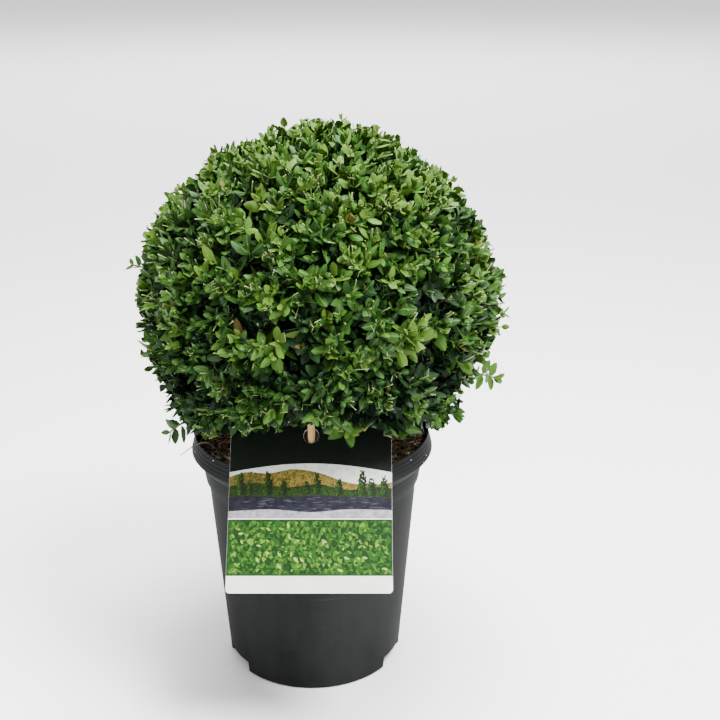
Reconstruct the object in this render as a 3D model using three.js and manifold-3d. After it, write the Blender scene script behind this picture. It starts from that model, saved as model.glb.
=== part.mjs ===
// A clipped ball of common box in its nursery pot, with its picture label and the peg that holds it.
// Millimetres, +Z up, the front towards -Y, the origin at the middle of the pot's flat underside.
import * as THREE from 'three';
import { ImprovedNoise } from 'three/addons/math/ImprovedNoise.js';
import { mergeVertices } from 'three/addons/utils/BufferGeometryUtils.js';
import Module from 'manifold-3d';

const wasm = await Module();
wasm.setup();

// Clearance kept between pieces that touch.
const GAP = 0.3;

// How far a cutting block runs past the surface that it opens.
const BEYOND = 1;

// Points closer together than this are one point.
const SAME_PLACE = 1e-4;
const SAME_HEIGHT = 1e-3;

// The pot, from the foot up: a thick foot with a small chamfer, a flaring wall, a neck that spreads under a small step,
// a collar, a shoulder that slopes out, and a rim that leans in to its lip.
const POT_HEIGHT = 210;
const FOOT_RADIUS = 74.4;
const FOOT_CHAMFER = 1.5;
const FOOT_INNER_RADIUS = 66.5;
const FOOT_INNER_Z = 12.5;
const FLOOR = 3;
const WALL_LOW_RADIUS = 75.9;
const INNER_LOW_RADIUS = 75;
const WALL_TOP_RADIUS = 88.8;
const NECK_Z = 160;
const NECK_RADIUS = 90;
const STEP_Z = 169;
const STEP_RISE = 0.8;
const COLLAR_LOW_RADIUS = 91.8;
const COLLAR_TOP_RADIUS = 94.5;
const SHOULDER_Z = 186;
const RIM_Z = 194.8;
const RIM_BAND = 2;
const RIM_RADIUS = 102.7;
const LIP_RADIUS = 99.4;
const LIP_ROUNDING = 0.5;
const RIM_INNER_RADIUS = 98.2;
const WALL = 2;
const POT_SEGMENTS = 48;

// Recesses in the foot: two towards the front and two towards the back, to either side.
const RECESS_DEPTH = 7.3;
const RECESS_HEIGHT = 8;
const RECESS_HALF_ANGLE = THREE.MathUtils.degToRad(15);
const RECESS_ANGLES = [-19.9, 27.4, 160.1, 207.4].map(THREE.MathUtils.degToRad);
const RECESS_SEGMENTS = 3;

// The potting mix fills the pot to a little under the rim.
const SOIL_Z = 202;
const SOIL_UNEVEN = 1.6;
const SOIL_UNEVEN_SPAN = 17;
const SOIL_UNEVEN_LAYER = 4;
const SOIL_SINK = 0.4;
const SOIL_GAP = 0.5;
const SOIL_PEG_GAP = 0.4;
const SOIL_LEVEL_RADIUS = 24;
const SOIL_RINGS = [88, 74, 60, 46, 30];
const SOIL_SEGMENTS = 32;

// The clipped ball.
const BALL_CENTRE = new THREE.Vector3(6, 0, 322);
const BALL_RADIUS = 148.4;
const BALL_HALF_HEIGHT = 147.5;
const BALL_DETAIL = 10;
const BALL_ROUGHNESS = 2.2;
const BALL_ROUGHNESS_SPAN = 0.42;
const BALL_ROUGHNESS_SHIFT = 7;

// Where the clipped surface swells (+) or is cut in (-): azimuth from +X and elevation in degrees.
const SWELLS = [
  { azimuth: -8, elevation: 29, spread: 15, height: 4 },
  { azimuth: -5, elevation: 1, spread: 11, height: 4 },
  { azimuth: -10, elevation: -16, spread: 9, height: -5 },
  { azimuth: 0, elevation: 57, spread: 11, height: -4 },
  { azimuth: -20, elevation: 75, spread: 8, height: 4 },
  { azimuth: 180, elevation: 62, spread: 14, height: -8 },
  { azimuth: 190, elevation: -10, spread: 14, height: -3.5 },
  { azimuth: 60, elevation: 20, spread: 18, height: 3 },
  { azimuth: 125, elevation: -5, spread: 16, height: -4 },
];

// Fuller growth all round the foot of the ball.
const SKIRT_ELEVATION = -47;
const SKIRT_SPREAD = 11;
const SKIRT_SWELL = 9;

// The underside of the foliage: raised over the label in front, drooping past the rim at the sides.
// The block that cuts it starts at its foot.
const UNDERSIDE_FOOT_Z = 100;
const UNDERSIDE_Z = 226;
const UNDERSIDE_FRONT_Z = 265;
const UNDERSIDE_SIDE_Z = 214;
const UNDERSIDE_BACK_Z = 222;
const UNDERSIDE_TURN_RADIUS = 62;
const UNDERSIDE_EDGE_RADIUS = 128;
const UNDERSIDE_UNEVEN = 1.2;
const UNDERSIDE_UNEVEN_SPAN = 14;
const UNDERSIDE_UNEVEN_LAYER = 9;
const UNDERSIDE_RINGS = [190, 150, 132, 118, 104, 90, 76, 62, 40];
const UNDERSIDE_SEGMENTS = 32;

// The bare hollow inside the ball, round the trunk.
const HOLLOW_CENTRE_Z = 228;
const HOLLOW_RADIUS = 58;
const HOLLOW_HEIGHT = 60;
const HOLLOW_SEGMENTS = 32;

// The short trunk and its boughs. The trunk is drawn from below the soil and cut flat at the soil.
const STEM_RADIUS = 9;
const STEM_TIP_RADIUS = 4.6;
const STEM_FLARE = 5;
const STEM_FLARE_HEIGHT = 7;
const STEM_LOBES = 5;
const STEM_LOBE_DEPTH = 0.22;
const STEM_SUNK = 8;
const STEM_FOOT = new THREE.Vector3(0, 0, SOIL_Z - STEM_SUNK);
const STEM_BENDS = [new THREE.Vector3(0.5, 0, SOIL_Z + 12), new THREE.Vector3(-1, 2.5, SOIL_Z + 48)];
const STEM_TIP = new THREE.Vector3(-5, 7, 297);
const STEM_ROOM = 60;
const STEM_SIDES = 16;
const STEM_STEPS = 15;
const BOUGH_COUNT = 6;
const BOUGH_RADIUS = 4.4;
const BOUGH_TIP_RADIUS = 2.9;
const BOUGH_LOWEST_Z = 219;
const BOUGH_RISE = 9;
const BOUGH_LOW_ANGLE = 14;
const BOUGH_ANGLE_STEP = 8;
const BOUGH_FIRST_AZIMUTH = 200;
const BOUGH_TURN = 137.5;
const BOUGH_SINK = 6;
const BOUGH_SAG = 2.5;
const LIMB_SIDES = 10;
const LIMB_STEPS = 5;

// The picture label, leaning out over the front of the rim.
const LABEL_WIDTH = 126;
const LABEL_ABOVE_RIM = 40.8;
const LABEL_BELOW_RIM = 90.2;
const LABEL_THICKNESS = 0.8;
const LABEL_CORNER = 3;
const LABEL_CORNER_SEGMENTS = 5;
const LABEL_X = 2.7;
const LABEL_LEAN = THREE.MathUtils.degToRad(38);
const LABEL_HOLE_RADIUS = 6;
const LABEL_HOLE_FROM_TOP = 8.7;
const LABEL_CLEARANCE = 3;

// The wooden peg, pushed into the potting mix and up through the label's hole.
const PEG_RADIUS = 3;
const PEG_LOW_Z = 180;
const PEG_TOP_Z = 257;
const PEG_SHOULDER = 2;
const PEG_CROWN = 0.6;
const PEG_CROWN_SHARE = 0.8;
const PEG_SIDES = 16;

// Where the foliage parts in front of the peg.
const PARTING_HALF_WIDTH = 8;
const PARTING_FAR_Y = -170;
const PARTING_LOW_Z = 225;
const PARTING_UNDER_TOP = 3;
const PARTING_RISE = 24;

// Stray shoots that stand out of the clipped surface.
const SHOOTS = {
  shoot_right_low: { root: [138, -12, 264], tip: [163, -14, 258], width: 9 },
  shoot_right_mid: { root: [146, -6, 316], tip: [165, -8, 314], width: 8 },
  shoot_left_high: { root: [-130, 0, 350], tip: [-149, 0, 354], width: 9 },
  shoot_left_low: { root: [-104, -22, 224], tip: [-125, -28, 212], width: 11 },
  shoot_front: { root: [28, -112, 266], tip: [37, -121, 241], width: 10 },
};
const SHOOT_THICKNESS = 0.7;
const SHOOT_FOOT_SHARE = 0.3;
const SHOOT_FULLNESS = 0.7;
const SHOOT_LEAD = 0.1;
const SHOOT_LEAST_RADIUS = 0.6;
const SHOOT_SIDES = 8;
const SHOOT_STEPS = 5;

const noise = new ImprovedNoise();

const MATERIALS = {
  pot: new THREE.MeshStandardMaterial({ color: 0x353735, roughness: 0.55, metalness: 0 }),
  mix: new THREE.MeshStandardMaterial({ color: 0x3a2f24, roughness: 0.95, metalness: 0 }),
  bark: new THREE.MeshStandardMaterial({ color: 0x8a7a5c, roughness: 0.85, metalness: 0 }),
  leaf: new THREE.MeshStandardMaterial({ color: 0x3f6022, roughness: 0.5, metalness: 0 }),
  label: new THREE.MeshStandardMaterial({ color: 0x1a3320, roughness: 0.35, metalness: 0 }),
  peg: new THREE.MeshStandardMaterial({ color: 0xb8a282, roughness: 0.8, metalness: 0 }),
};

// Geometry to solid and back, for cuts and joins.
function toSolid(geometry, matrix = new THREE.Matrix4()) {
  const bare = geometry.index ? geometry.clone() : geometry;
  bare.deleteAttribute('normal');
  bare.deleteAttribute('uv');
  const merged = mergeVertices(bare, SAME_PLACE);
  merged.applyMatrix4(matrix);
  const mesh = new wasm.Mesh({
    numProp: 3,
    vertProperties: new Float32Array(merged.attributes.position.array),
    triVerts: new Uint32Array(merged.index.array),
  });
  return new wasm.Manifold(mesh);
}

function toGeometry(solid) {
  const mesh = solid.getMesh();
  const geometry = new THREE.BufferGeometry();
  geometry.setAttribute('position', new THREE.BufferAttribute(mesh.vertProperties, 3));
  geometry.setIndex(new THREE.BufferAttribute(mesh.triVerts, 1));
  geometry.computeVertexNormals();
  return geometry;
}

function piece(name, solid, material) {
  const mesh = new THREE.Mesh(toGeometry(solid), material.clone());
  mesh.name = name;
  return mesh;
}

// A lathe about the Z axis from a list of [radius, height].
function turned(profile, segments) {
  const points = profile.map(([radius, z]) => new THREE.Vector2(radius, z));
  const geometry = new THREE.LatheGeometry(points, segments);
  geometry.rotateX(Math.PI / 2);
  return geometry;
}

function box(low, high) {
  const geometry = new THREE.BoxGeometry(high[0] - low[0], high[1] - low[1], high[2] - low[2]);
  geometry.translate((low[0] + high[0]) / 2, (low[1] + high[1]) / 2, (low[2] + high[2]) / 2);
  return geometry;
}

// A round limb along a smooth curve, closed at both ends; radiusAt takes 0..1 along and the angle round.
// Its skin and its two ends stand out by extra, which makes the room that a neighbour leaves for it.
function limb(points, radiusAt, extra, sides = LIMB_SIDES, steps = LIMB_STEPS) {
  const curve = new THREE.CatmullRomCurve3(points);
  const frames = curve.computeFrenetFrames(steps, false);
  const geometry = new THREE.CylinderGeometry(1, 1, 1, sides, steps);
  const position = geometry.attributes.position;
  const place = new THREE.Vector3();
  for (let i = 0; i < position.count; i += 1) {
    const step = Math.round((position.getY(i) + 0.5) * steps);
    const across = position.getX(i);
    const along = position.getZ(i);
    const radius = radiusAt(step / steps, Math.atan2(along, across)) + extra;
    const push = step === 0 ? -extra : step === steps ? extra : 0;
    place.copy(curve.getPointAt(step / steps)).addScaledVector(frames.tangents[step], push);
    place.addScaledVector(frames.normals[step], across * radius);
    place.addScaledVector(frames.binormals[step], -along * radius);
    position.setXYZ(i, place.x, place.y, place.z);
  }
  return geometry;
}

function fromAngles(azimuth, elevation) {
  const turn = THREE.MathUtils.degToRad(azimuth);
  const rise = THREE.MathUtils.degToRad(elevation);
  const flat = Math.cos(rise);
  return new THREE.Vector3(flat * Math.cos(turn), flat * Math.sin(turn), Math.sin(rise));
}

function bump(angle, spread) {
  return Math.exp(-((angle / spread) ** 2));
}

function smoothstep(low, high, value) {
  return THREE.MathUtils.smoothstep(value, low, high);
}

// The inside of the pot's wall from the rim down to the foot, moved in and up by gap.
function insideOfPot(gap) {
  return [
    [RIM_INNER_RADIUS - gap, RIM_Z + gap],
    [COLLAR_TOP_RADIUS - WALL - gap, SHOULDER_Z + WALL + gap],
    [COLLAR_LOW_RADIUS - WALL - gap, STEP_Z + WALL + gap],
    [WALL_TOP_RADIUS - WALL - gap, NECK_Z + WALL + gap],
    [INNER_LOW_RADIUS - gap, FOOT_INNER_Z + WALL + gap],
    [FOOT_INNER_RADIUS - gap, FOOT_INNER_Z + gap],
  ];
}

function potSolid() {
  const body = turned([
    [0, 0],
    [FOOT_RADIUS, 0],
    [WALL_LOW_RADIUS, FOOT_CHAMFER],
    [WALL_TOP_RADIUS, NECK_Z],
    [NECK_RADIUS, STEP_Z],
    [COLLAR_LOW_RADIUS, STEP_Z + STEP_RISE],
    [COLLAR_TOP_RADIUS, SHOULDER_Z],
    [RIM_RADIUS, RIM_Z],
    [RIM_RADIUS, RIM_Z + RIM_BAND],
    [LIP_RADIUS, POT_HEIGHT - LIP_ROUNDING],
    [LIP_RADIUS - LIP_ROUNDING, POT_HEIGHT],
    [RIM_INNER_RADIUS, POT_HEIGHT - LIP_ROUNDING],
    ...insideOfPot(0),
    [FOOT_INNER_RADIUS, FLOOR],
    [0, FLOOR],
  ], POT_SEGMENTS);
  let pot = toSolid(body);
  for (const angle of RECESS_ANGLES) {
    pot = pot.subtract(toSolid(footRecess(angle)));
  }
  return pot;
}

// A curved block that takes RECESS_DEPTH off the foot about an angle.
function footRecess(angle) {
  const outline = new THREE.Shape();
  const start = angle - RECESS_HALF_ANGLE;
  const end = angle + RECESS_HALF_ANGLE;
  outline.absarc(0, 0, WALL_LOW_RADIUS + RECESS_DEPTH, start, end, false);
  outline.absarc(0, 0, WALL_LOW_RADIUS - RECESS_DEPTH, end, start, true);
  const geometry = new THREE.ExtrudeGeometry(outline, {
    depth: RECESS_HEIGHT + BEYOND,
    bevelEnabled: false,
    curveSegments: RECESS_SEGMENTS,
  });
  geometry.translate(0, 0, -BEYOND);
  return geometry;
}

// Height of the potting mix: level round the trunk, uneven further out.
function soilHeight(x, y) {
  const out = smoothstep(SOIL_LEVEL_RADIUS, 2 * SOIL_LEVEL_RADIUS, Math.hypot(x, y));
  const swell = noise.noise(x / SOIL_UNEVEN_SPAN, y / SOIL_UNEVEN_SPAN, SOIL_UNEVEN_LAYER);
  return SOIL_Z + out * SOIL_UNEVEN * (swell - SOIL_SINK);
}

function soilSolid() {
  const geometry = turned([
    [0, FLOOR + SOIL_GAP],
    [FOOT_INNER_RADIUS - SOIL_GAP, FLOOR + SOIL_GAP],
    ...insideOfPot(SOIL_GAP).reverse(),
    ...[RIM_INNER_RADIUS - SOIL_GAP, ...SOIL_RINGS, 0].map((radius) => [radius, SOIL_Z]),
  ], SOIL_SEGMENTS);
  const position = geometry.attributes.position;
  for (let i = 0; i < position.count; i += 1) {
    if (Math.abs(position.getZ(i) - SOIL_Z) < SAME_HEIGHT) {
      position.setZ(i, soilHeight(position.getX(i), position.getY(i)));
    }
  }
  return toSolid(geometry).subtract(toSolid(pegGeometry(SOIL_PEG_GAP)));
}

// The trunk: a flat cut at the soil, a lobed root flare, then a taper up into the foliage.
function stemGeometry(extra) {
  const length = STEM_TIP.z - STEM_FOOT.z;
  const radiusAt = (along, angle) => {
    const above = Math.max(0, along * length - STEM_SUNK);
    const taper = THREE.MathUtils.lerp(STEM_RADIUS, STEM_TIP_RADIUS, along);
    const lobes = 1 + STEM_LOBE_DEPTH * Math.cos(STEM_LOBES * angle);
    return taper + STEM_FLARE * lobes * Math.exp(-above / STEM_FLARE_HEIGHT);
  };
  return limb([STEM_FOOT, ...STEM_BENDS, STEM_TIP], radiusAt, extra, STEM_SIDES, STEM_STEPS);
}

function aboveSoil(solid) {
  const room = box([-STEM_ROOM, -STEM_ROOM, SOIL_Z + GAP], [STEM_ROOM, STEM_ROOM, BALL_CENTRE.z]);
  return solid.intersect(toSolid(room));
}

// Each bough leaves the trunk at its own height and rises in an arc to the roof of the hollow.
function boughGeometry(index, extra) {
  const azimuth = BOUGH_FIRST_AZIMUTH + index * BOUGH_TURN;
  const elevation = BOUGH_LOW_ANGLE + index * BOUGH_ANGLE_STEP;
  const startZ = BOUGH_LOWEST_Z + index * BOUGH_RISE;
  const lean = (startZ - SOIL_Z) / (STEM_TIP.z - SOIL_Z);
  const start = new THREE.Vector3(STEM_TIP.x * lean ** 2, STEM_TIP.y * lean ** 2, startZ);
  const aim = fromAngles(azimuth, elevation);
  const end = new THREE.Vector3(aim.x * HOLLOW_RADIUS, aim.y * HOLLOW_RADIUS, aim.z * HOLLOW_HEIGHT);
  end.multiplyScalar(1 + BOUGH_SINK / HOLLOW_RADIUS);
  end.z += HOLLOW_CENTRE_Z;
  const middle = start.clone().lerp(end, 0.5);
  middle.z -= BOUGH_SAG;
  const radiusAt = (along) => THREE.MathUtils.lerp(BOUGH_RADIUS, BOUGH_TIP_RADIUS, along);
  return limb([start, middle, end], radiusAt, extra);
}

function boughSolid(index) {
  return toSolid(boughGeometry(index, 0)).subtract(toSolid(stemGeometry(GAP)));
}

// Distance from the ball's middle to its clipped surface along a direction.
function ballRadius(direction) {
  const across = (direction.x ** 2 + direction.y ** 2) / BALL_RADIUS ** 2;
  let radius = 1 / Math.sqrt(across + direction.z ** 2 / BALL_HALF_HEIGHT ** 2);
  for (const swell of SWELLS) {
    const centre = fromAngles(swell.azimuth, swell.elevation);
    const angle = THREE.MathUtils.radToDeg(direction.angleTo(centre));
    radius += swell.height * bump(angle, swell.spread);
  }
  const elevation = THREE.MathUtils.radToDeg(Math.asin(direction.z));
  radius += SKIRT_SWELL * bump(elevation - SKIRT_ELEVATION, SKIRT_SPREAD);
  const at = direction.clone().divideScalar(BALL_ROUGHNESS_SPAN);
  return radius + BALL_ROUGHNESS * noise.noise(at.x + BALL_ROUGHNESS_SHIFT, at.y, at.z);
}

function ballGeometry() {
  const geometry = new THREE.IcosahedronGeometry(1, BALL_DETAIL);
  const position = geometry.attributes.position;
  const direction = new THREE.Vector3();
  for (let i = 0; i < position.count; i += 1) {
    direction.fromBufferAttribute(position, i).normalize();
    direction.multiplyScalar(ballRadius(direction)).add(BALL_CENTRE);
    position.setXYZ(i, direction.x, direction.y, direction.z);
  }
  return geometry;
}

// Height of the foliage's underside above a point of the ground plan.
function undersideHeight(x, y) {
  const radius = Math.hypot(x, y);
  const facing = radius > 0 ? (y / radius) ** 2 : 0;
  const farZ = y < 0 ? UNDERSIDE_FRONT_Z : UNDERSIDE_BACK_Z;
  const edgeZ = THREE.MathUtils.lerp(UNDERSIDE_SIDE_Z, farZ, facing);
  const out = smoothstep(UNDERSIDE_TURN_RADIUS, UNDERSIDE_EDGE_RADIUS, radius);
  const swell = noise.noise(x / UNDERSIDE_UNEVEN_SPAN, y / UNDERSIDE_UNEVEN_SPAN, UNDERSIDE_UNEVEN_LAYER);
  return THREE.MathUtils.lerp(UNDERSIDE_Z, edgeZ, out) + UNDERSIDE_UNEVEN * swell;
}

// The space under the foliage, its top shaped by undersideHeight.
function undersideGeometry() {
  const profile = [[0, UNDERSIDE_FOOT_Z], [UNDERSIDE_RINGS[0], UNDERSIDE_FOOT_Z]];
  for (const radius of UNDERSIDE_RINGS) {
    profile.push([radius, UNDERSIDE_Z]);
  }
  profile.push([0, UNDERSIDE_Z]);
  const geometry = turned(profile, UNDERSIDE_SEGMENTS);
  const position = geometry.attributes.position;
  for (let i = 0; i < position.count; i += 1) {
    if (Math.abs(position.getZ(i) - UNDERSIDE_Z) < SAME_HEIGHT) {
      position.setZ(i, undersideHeight(position.getX(i), position.getY(i)));
    }
  }
  return geometry;
}

function hollowGeometry() {
  const geometry = new THREE.SphereGeometry(1, HOLLOW_SEGMENTS, HOLLOW_SEGMENTS / 2);
  geometry.scale(HOLLOW_RADIUS, HOLLOW_RADIUS, HOLLOW_HEIGHT);
  geometry.translate(0, 0, HOLLOW_CENTRE_Z);
  return geometry;
}

// The label's frame: x to the right, y up the card, z out of its face, zero where it meets the rim.
function labelMatrix() {
  const out = new THREE.Vector3(0, -Math.cos(LABEL_LEAN), Math.sin(LABEL_LEAN));
  const lip = new THREE.Vector3(LABEL_X, LIP_ROUNDING - LIP_RADIUS, POT_HEIGHT);
  const rest = lip.addScaledVector(out, GAP);
  const turn = new THREE.Matrix4().makeRotationX(Math.PI / 2 - LABEL_LEAN);
  return turn.setPosition(rest);
}

function labelGeometry() {
  const half = LABEL_WIDTH / 2;
  const low = -LABEL_BELOW_RIM;
  const high = LABEL_ABOVE_RIM;
  const corner = LABEL_CORNER;
  const outline = new THREE.Shape();
  outline.absarc(half - corner, low + corner, corner, -Math.PI / 2, 0, false);
  outline.absarc(half - corner, high - corner, corner, 0, Math.PI / 2, false);
  outline.absarc(-half + corner, high - corner, corner, Math.PI / 2, Math.PI, false);
  outline.absarc(-half + corner, low + corner, corner, Math.PI, 1.5 * Math.PI, false);
  const hole = new THREE.Path();
  hole.absarc(0, high - LABEL_HOLE_FROM_TOP, LABEL_HOLE_RADIUS, 0, 2 * Math.PI, true);
  outline.holes.push(hole);
  return new THREE.ExtrudeGeometry(outline, {
    depth: LABEL_THICKNESS,
    bevelEnabled: false,
    curveSegments: LABEL_CORNER_SEGMENTS,
  });
}

// Room kept free of foliage round the top of the label.
function labelClearance() {
  const side = LABEL_WIDTH / 2 + LABEL_CLEARANCE;
  const geometry = box(
    [-side, -LABEL_BELOW_RIM, -LABEL_CLEARANCE],
    [side, LABEL_ABOVE_RIM + LABEL_CLEARANCE, 2 * LABEL_CLEARANCE],
  );
  return toSolid(geometry, labelMatrix());
}

function pegY() {
  const hole = new THREE.Vector3(0, LABEL_ABOVE_RIM - LABEL_HOLE_FROM_TOP, LABEL_THICKNESS / 2);
  return hole.applyMatrix4(labelMatrix()).y;
}

function pegGeometry(extra) {
  const radius = PEG_RADIUS + extra;
  const geometry = turned([
    [0, PEG_LOW_Z - extra],
    [radius, PEG_LOW_Z - extra],
    [radius, PEG_TOP_Z - PEG_SHOULDER],
    [PEG_CROWN_SHARE * radius, PEG_TOP_Z - PEG_CROWN + extra],
    [0, PEG_TOP_Z + extra],
  ], PEG_SIDES);
  geometry.translate(LABEL_X, pegY(), 0);
  return geometry;
}

// The foliage parts in front of the peg, rising towards the front.
function pegParting() {
  const outline = new THREE.Shape();
  const behindPeg = pegY() + PEG_RADIUS + BEYOND;
  outline.moveTo(PARTING_FAR_Y, PARTING_LOW_Z);
  outline.lineTo(behindPeg, PARTING_LOW_Z);
  outline.lineTo(behindPeg, PEG_TOP_Z - PARTING_UNDER_TOP);
  outline.lineTo(PARTING_FAR_Y, PEG_TOP_Z + PARTING_RISE);
  const geometry = new THREE.ExtrudeGeometry(outline, {
    depth: 2 * PARTING_HALF_WIDTH,
    bevelEnabled: false,
  });
  // The outline's x and y become Y and Z, and its depth runs along X.
  const turn = new THREE.Matrix4().makeBasis(
    new THREE.Vector3(0, 1, 0),
    new THREE.Vector3(0, 0, 1),
    new THREE.Vector3(1, 0, 0),
  );
  turn.setPosition(LABEL_X - PARTING_HALF_WIDTH, 0, 0);
  return toSolid(geometry, turn);
}

// A stray shoot: a slim spindle that widens to its leaves and ends in a point.
function shootGeometry(shoot, extra) {
  const root = new THREE.Vector3(...shoot.root);
  const tip = new THREE.Vector3(...shoot.tip);
  const radiusAt = (along, angle) => {
    const swell = Math.sin(Math.PI * Math.min(1, SHOOT_LEAD + along)) ** SHOOT_FULLNESS;
    const share = THREE.MathUtils.lerp(SHOOT_FOOT_SHARE, 1, swell);
    const flat = Math.hypot(Math.cos(angle), SHOOT_THICKNESS * Math.sin(angle));
    return Math.max(SHOOT_LEAST_RADIUS, (shoot.width / 2) * share * flat);
  };
  const middle = root.clone().lerp(tip, 0.5);
  return limb([root, middle, tip], radiusAt, extra, SHOOT_SIDES, SHOOT_STEPS);
}

function foliageSolid() {
  let foliage = toSolid(ballGeometry());
  foliage = foliage.subtract(toSolid(undersideGeometry()));
  foliage = foliage.subtract(toSolid(hollowGeometry()));
  foliage = foliage.subtract(labelClearance());
  foliage = foliage.subtract(pegParting());
  foliage = foliage.subtract(toSolid(pegGeometry(GAP)));
  foliage = foliage.subtract(toSolid(stemGeometry(GAP)));
  for (let index = 0; index < BOUGH_COUNT; index += 1) {
    foliage = foliage.subtract(toSolid(boughGeometry(index, GAP)));
  }
  for (const shoot of Object.values(SHOOTS)) {
    foliage = foliage.subtract(toSolid(shootGeometry(shoot, GAP)));
  }
  return foliage;
}

const group = new THREE.Group();
group.add(piece('pot', potSolid(), MATERIALS.pot));
group.add(piece('potting_mix', soilSolid(), MATERIALS.mix));
group.add(piece('main_stem', aboveSoil(toSolid(stemGeometry(0))), MATERIALS.bark));
for (let index = 0; index < BOUGH_COUNT; index += 1) {
  group.add(piece(`bough_${index + 1}`, boughSolid(index), MATERIALS.bark));
}
group.add(piece('foliage_ball', foliageSolid(), MATERIALS.leaf));
for (const [name, shoot] of Object.entries(SHOOTS)) {
  group.add(piece(name, toSolid(shootGeometry(shoot, 0)), MATERIALS.leaf));
}
group.add(piece('label', toSolid(labelGeometry(), labelMatrix()), MATERIALS.label));
group.add(piece('peg', toSolid(pegGeometry(0)), MATERIALS.peg));

export default group;
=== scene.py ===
"""A clipped box ball in its nursery pot, with its picture label and the peg that holds the label.

Sizes are in millimetres and become metres where a mesh is made. +Z is up and the front faces -Y.
"""
import math

import bpy
import numpy as np
from mathutils import Matrix, Vector, noise
from mathutils.bvhtree import BVHTree


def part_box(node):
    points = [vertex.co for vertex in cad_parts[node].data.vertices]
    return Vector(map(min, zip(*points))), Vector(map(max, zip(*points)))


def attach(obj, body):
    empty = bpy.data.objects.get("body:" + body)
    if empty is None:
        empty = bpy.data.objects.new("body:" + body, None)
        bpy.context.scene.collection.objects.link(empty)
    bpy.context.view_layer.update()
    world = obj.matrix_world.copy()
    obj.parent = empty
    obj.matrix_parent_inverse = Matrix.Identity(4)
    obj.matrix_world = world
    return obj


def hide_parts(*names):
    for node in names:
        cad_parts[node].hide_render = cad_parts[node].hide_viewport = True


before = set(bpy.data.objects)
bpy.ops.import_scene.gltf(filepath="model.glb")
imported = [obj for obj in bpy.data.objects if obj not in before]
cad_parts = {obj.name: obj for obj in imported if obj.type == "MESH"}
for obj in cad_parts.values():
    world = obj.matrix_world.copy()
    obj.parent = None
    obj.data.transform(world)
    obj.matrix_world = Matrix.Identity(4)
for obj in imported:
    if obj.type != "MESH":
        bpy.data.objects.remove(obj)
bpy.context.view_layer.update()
scene = bpy.context.scene

MM = 0.001
SEED = 5

# The camera: straight in front, looking down a little.
CAMERA_PLACE = (0.04094, -0.925, 0.5923)
CAMERA_PITCH = math.radians(19.145)
CAMERA_LENS = 58.3
CAMERA_SENSOR = 36.0

# Each lamp: where it stands and where it looks, in metres, its size and its power.
LAMPS = {
    "key": ((0.8, -0.7, 1.9), (0, 0, 0.28), 0.7, 102),
    "top": ((0.1, 0.1, 1.9), (0, 0, 0.3), 0.9, 82),
    "back": ((0, 5, 4), (0, 6, 0), 5, 500),
}
SKY_STRENGTH = 1.18
FLOOR_SIZE = 80

# Clearance kept between the card and the rim.
GAP = 0.3

# The pot, from the foot up: a foot ring, a flaring wall, a neck that spreads under a small step,
# a collar, a shoulder that slopes out, and a rim that leans in to its lip.
POT_HEIGHT = 210
FOOT_RADIUS = 74.4
FOOT_CHAMFER = 1.5
FOOT_INNER_RADIUS = 66.5
FOOT_INNER_Z = 12.5
FLOOR = 3
WALL_LOW_RADIUS = 75.9
INNER_LOW_RADIUS = 75
WALL_TOP_RADIUS = 88.8
NECK_Z = 160
NECK_RADIUS = 90
STEP_Z = 169
STEP_RISE = 0.8
COLLAR_LOW_RADIUS = 91.8
COLLAR_TOP_RADIUS = 94.5
SHOULDER_Z = 186
RIM_Z = 194.8
RIM_BAND = 2
RIM_RADIUS = 102.7
LIP_RADIUS = 99.4
LIP_ROUNDING = 0.5
RIM_INNER_RADIUS = 98.2
WALL = 2
POT_SEGMENTS = 160
RIDGE_DEPTH = 0.11
RECESS_DEPTH = 7.3
RECESS_HEIGHT = 10.5
RECESS_HALF_ANGLE = 14
RECESS_ANGLES = (-19.9, 27.4, 160.1, 207.4)
POT_DARK = (27, 28, 28)
POT_PALE = (38, 39, 39)
POT_SCUFF = (66, 64, 60)

# The potting mix and what lies on it.
MIX_Z = 202
MIX_GAP = 0.5
MIX_LEVEL_RADIUS = 24
MIX_CHIP_RADIUS = 95
# Chips: name, two colours, number, lengths and widths.
CHIPS = (
    ("dark", (46, 38, 29), (98, 82, 60), 460, (4, 13), (1.2, 4.0)),
    ("brown", (96, 76, 52), (162, 134, 94), 340, (5, 16), (1.0, 3.2)),
    ("tan", (170, 150, 106), (222, 206, 160), 190, (5, 19), (0.8, 2.0)),
    ("grey", (138, 128, 110), (190, 178, 154), 80, (3, 12), (0.8, 2.4)),
)
# How broad the mix's swells, crumbs and grit are along each axis.
MIX_SWELL = (17, 17, 1)
MIX_CRUMB = (4.2, 4.2, 1)
MIX_GRIT = (1.9, 1.9, 1)
FIBRES = 260
PERLITE_IN_MIX = 150
PERLITE_ON_RIM = 22
STALK = (
    (-72, -46, 203.5), (-79, -41, 209.5), (-84, -40, 213.6),
    (-90, -40, 213), (-95.5, -41, 211.4), (-107, -43, 203),
)
PEAT = (12, 10, 8), (78, 64, 46)
COIR = (130, 98, 64), (200, 166, 118)
PERLITE = (170, 166, 156), (224, 222, 214)
STRAW = (66, 56, 44), (104, 92, 74)

# The trunk's skin, and how long its furrows and plates are along each axis.
BARK_CELL = 0.9
TRUNK_FOOT_Z = 202.4
FURROW = (1.8, 1.8, 9)
PLATE = (5, 5, 6)
BARK = (66, 56, 40), (132, 118, 88)

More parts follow.
